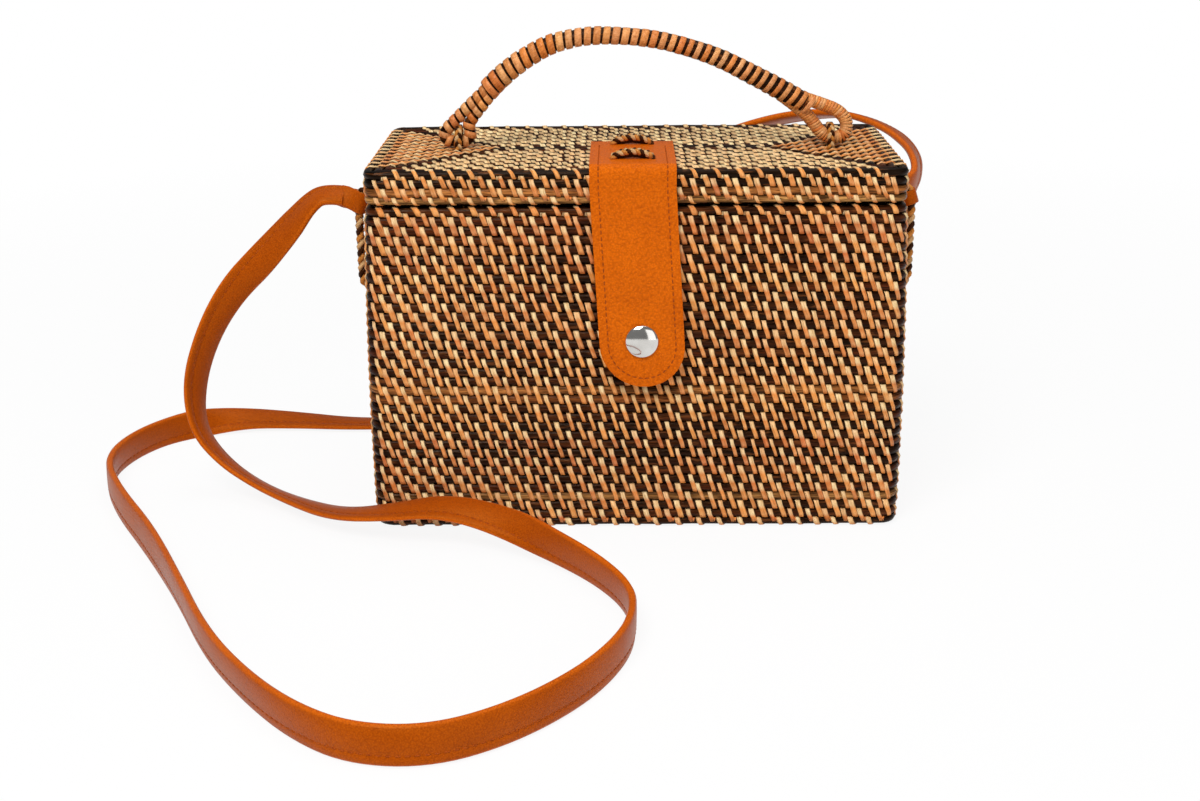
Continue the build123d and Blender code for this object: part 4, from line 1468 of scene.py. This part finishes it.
class BOXBAG_OT_stage(bpy.types.Operator):
    """Set the floor, the light and the camera"""

    bl_idname = "boxbag.stage"
    bl_label = "Stage"

    def execute(self, context):
        scene = context.scene
        scene.view_settings.view_transform = "Standard"
        self.floor()
        self.world(scene)
        for name, place, aim, size, power in LAMPS:
            lamp = bpy.data.lights.new(name, "AREA")
            lamp.shape = "SQUARE"
            lamp.size = size
            lamp.energy = power
            holder = link(name, lamp)
            holder.location = place
            holder.rotation_euler = (Vector(aim) - Vector(place)).to_track_quat("-Z", "Y").to_euler()
        self.camera(scene)
        return {"FINISHED"}

    def floor(self):
        """White paper that keeps the bag's shadow near it."""
        deselect()
        bpy.ops.mesh.primitive_plane_add(size=8, location=(0, 0, 0))
        floor = bpy.context.view_layer.objects.active
        floor.name = "studio_floor"
        made = bpy.data.materials.new("studio_floor")
        made.use_nodes = True
        tree = made.node_tree
        tree.nodes.clear()
        paper = add(tree, "ShaderNodeBsdfDiffuse", {"Color": (0.9, 0.9, 0.9, 1)}).outputs[0]
        white = add(tree, "ShaderNodeEmission", {"Color": (1, 1, 1, 1), "Strength": 1.0}).outputs[0]
        seen = self.seen(tree, "Is Transmission Ray", "Is Glossy Ray")
        away = add(tree, "ShaderNodeVectorMath", {0: object_place(tree)}, operation="LENGTH").outputs["Value"]
        fade = {"Value": away, "From Min": 0.25, "From Max": 0.8, "To Min": 0.9, "To Max": 1.0}
        far = add(tree, "ShaderNodeMapRange", fade).outputs[0]
        share = add(tree, "ShaderNodeMath", {0: seen, 1: far}, operation="MULTIPLY").outputs[0]
        both = add(tree, "ShaderNodeMixShader", {0: share, 1: paper, 2: white}).outputs[0]
        add(tree, "ShaderNodeOutputMaterial", {"Surface": both})
        floor.data.materials.append(made)

    def seen(self, tree, *kinds):
        """One for the rays that see the background itself: the camera's, and the kinds that are named."""
        path = add(tree, "ShaderNodeLightPath").outputs
        out = path["Is Camera Ray"]
        for kind in kinds:
            out = add(tree, "ShaderNodeMath", {0: out, 1: path[kind]}, operation="MAXIMUM").outputs[0]
        return out

    def world(self, scene):
        """Plain white surroundings that light the bag faintly."""
        world = bpy.data.worlds.new("studio")
        scene.world = world
        world.use_nodes = True
        tree = world.node_tree
        tree.nodes.clear()
        seen = self.seen(tree, "Is Transmission Ray")
        strength = add(tree, "ShaderNodeMapRange", {"Value": seen, "To Min": 0.22, "To Max": 1.0}).outputs[0]
        light = add(tree, "ShaderNodeBackground", {"Color": (1, 1, 1, 1), "Strength": strength}).outputs[0]
        add(tree, "ShaderNodeOutputWorld", {"Surface": light})

    def camera(self, scene):
        """The view of the photograph."""
        pitch, yaw, roll = CAMERA_PITCH, CAMERA_YAW, CAMERA_ROLL
        forward = Vector((sin(yaw) * cos(pitch), cos(yaw) * cos(pitch), -sin(pitch)))
        right = Vector((cos(yaw), -sin(yaw), 0))
        up = right.cross(forward)
        right, up = right * cos(roll) + up * sin(roll), up * cos(roll) - right * sin(roll)
        lens = bpy.data.cameras.new("camera")
        lens.sensor_fit = "HORIZONTAL"
        lens.sensor_width = CAMERA_SENSOR
        lens.lens = CAMERA_LENS
        camera = link("camera", lens)
        turn = Matrix((right, up, -forward)).transposed().to_4x4()
        camera.matrix_world = Matrix.Translation(CAMERA_PLACE) @ turn
        scene.camera = camera


OPERATORS = (
    BOXBAG_OT_stage,
    BOXBAG_OT_strap,
    BOXBAG_OT_basket,
    BOXBAG_OT_lid,
    BOXBAG_OT_braids,
    BOXBAG_OT_handle,
    BOXBAG_OT_flap,
    BOXBAG_OT_snap,
)


class BOXBAG_PT_panel(bpy.types.Panel):
    """Lists the pieces of the bag"""

    bl_idname = "BOXBAG_PT_panel"
    bl_label = "Box Bag"
    bl_space_type = "VIEW_3D"
    bl_region_type = "UI"
    bl_category = "Box Bag"

    def draw(self, context):
        for operator in OPERATORS:
            self.layout.operator(operator.bl_idname)
        for group in (context.scene.box_bag_sizes, context.scene.box_bag_colours):
            box = self.layout.box()
            for key in group.bl_rna.properties.keys():
                if key not in ("rna_type", "name"):
                    box.prop(group, key)


CLASSES = (BoxBagSizes, BoxBagColours, *OPERATORS, BOXBAG_PT_panel)


def register():
    for kind in CLASSES:
        bpy.utils.register_class(kind)
    bpy.types.Scene.box_bag_sizes = bpy.props.PointerProperty(type=BoxBagSizes)
    bpy.types.Scene.box_bag_colours = bpy.props.PointerProperty(type=BoxBagColours)


def unregister():
    del bpy.types.Scene.box_bag_colours
    del bpy.types.Scene.box_bag_sizes
    for kind in reversed(CLASSES):
        bpy.utils.unregister_class(kind)


def main():
    register()
    bpy.ops.boxbag.stage()
    bpy.ops.boxbag.strap()
    bpy.ops.boxbag.basket()
    bpy.ops.boxbag.lid()
    bpy.ops.boxbag.braids()
    bpy.ops.boxbag.handle()
    bpy.ops.boxbag.flap()
    bpy.ops.boxbag.snap()


if __name__ == "__main__":
    main()
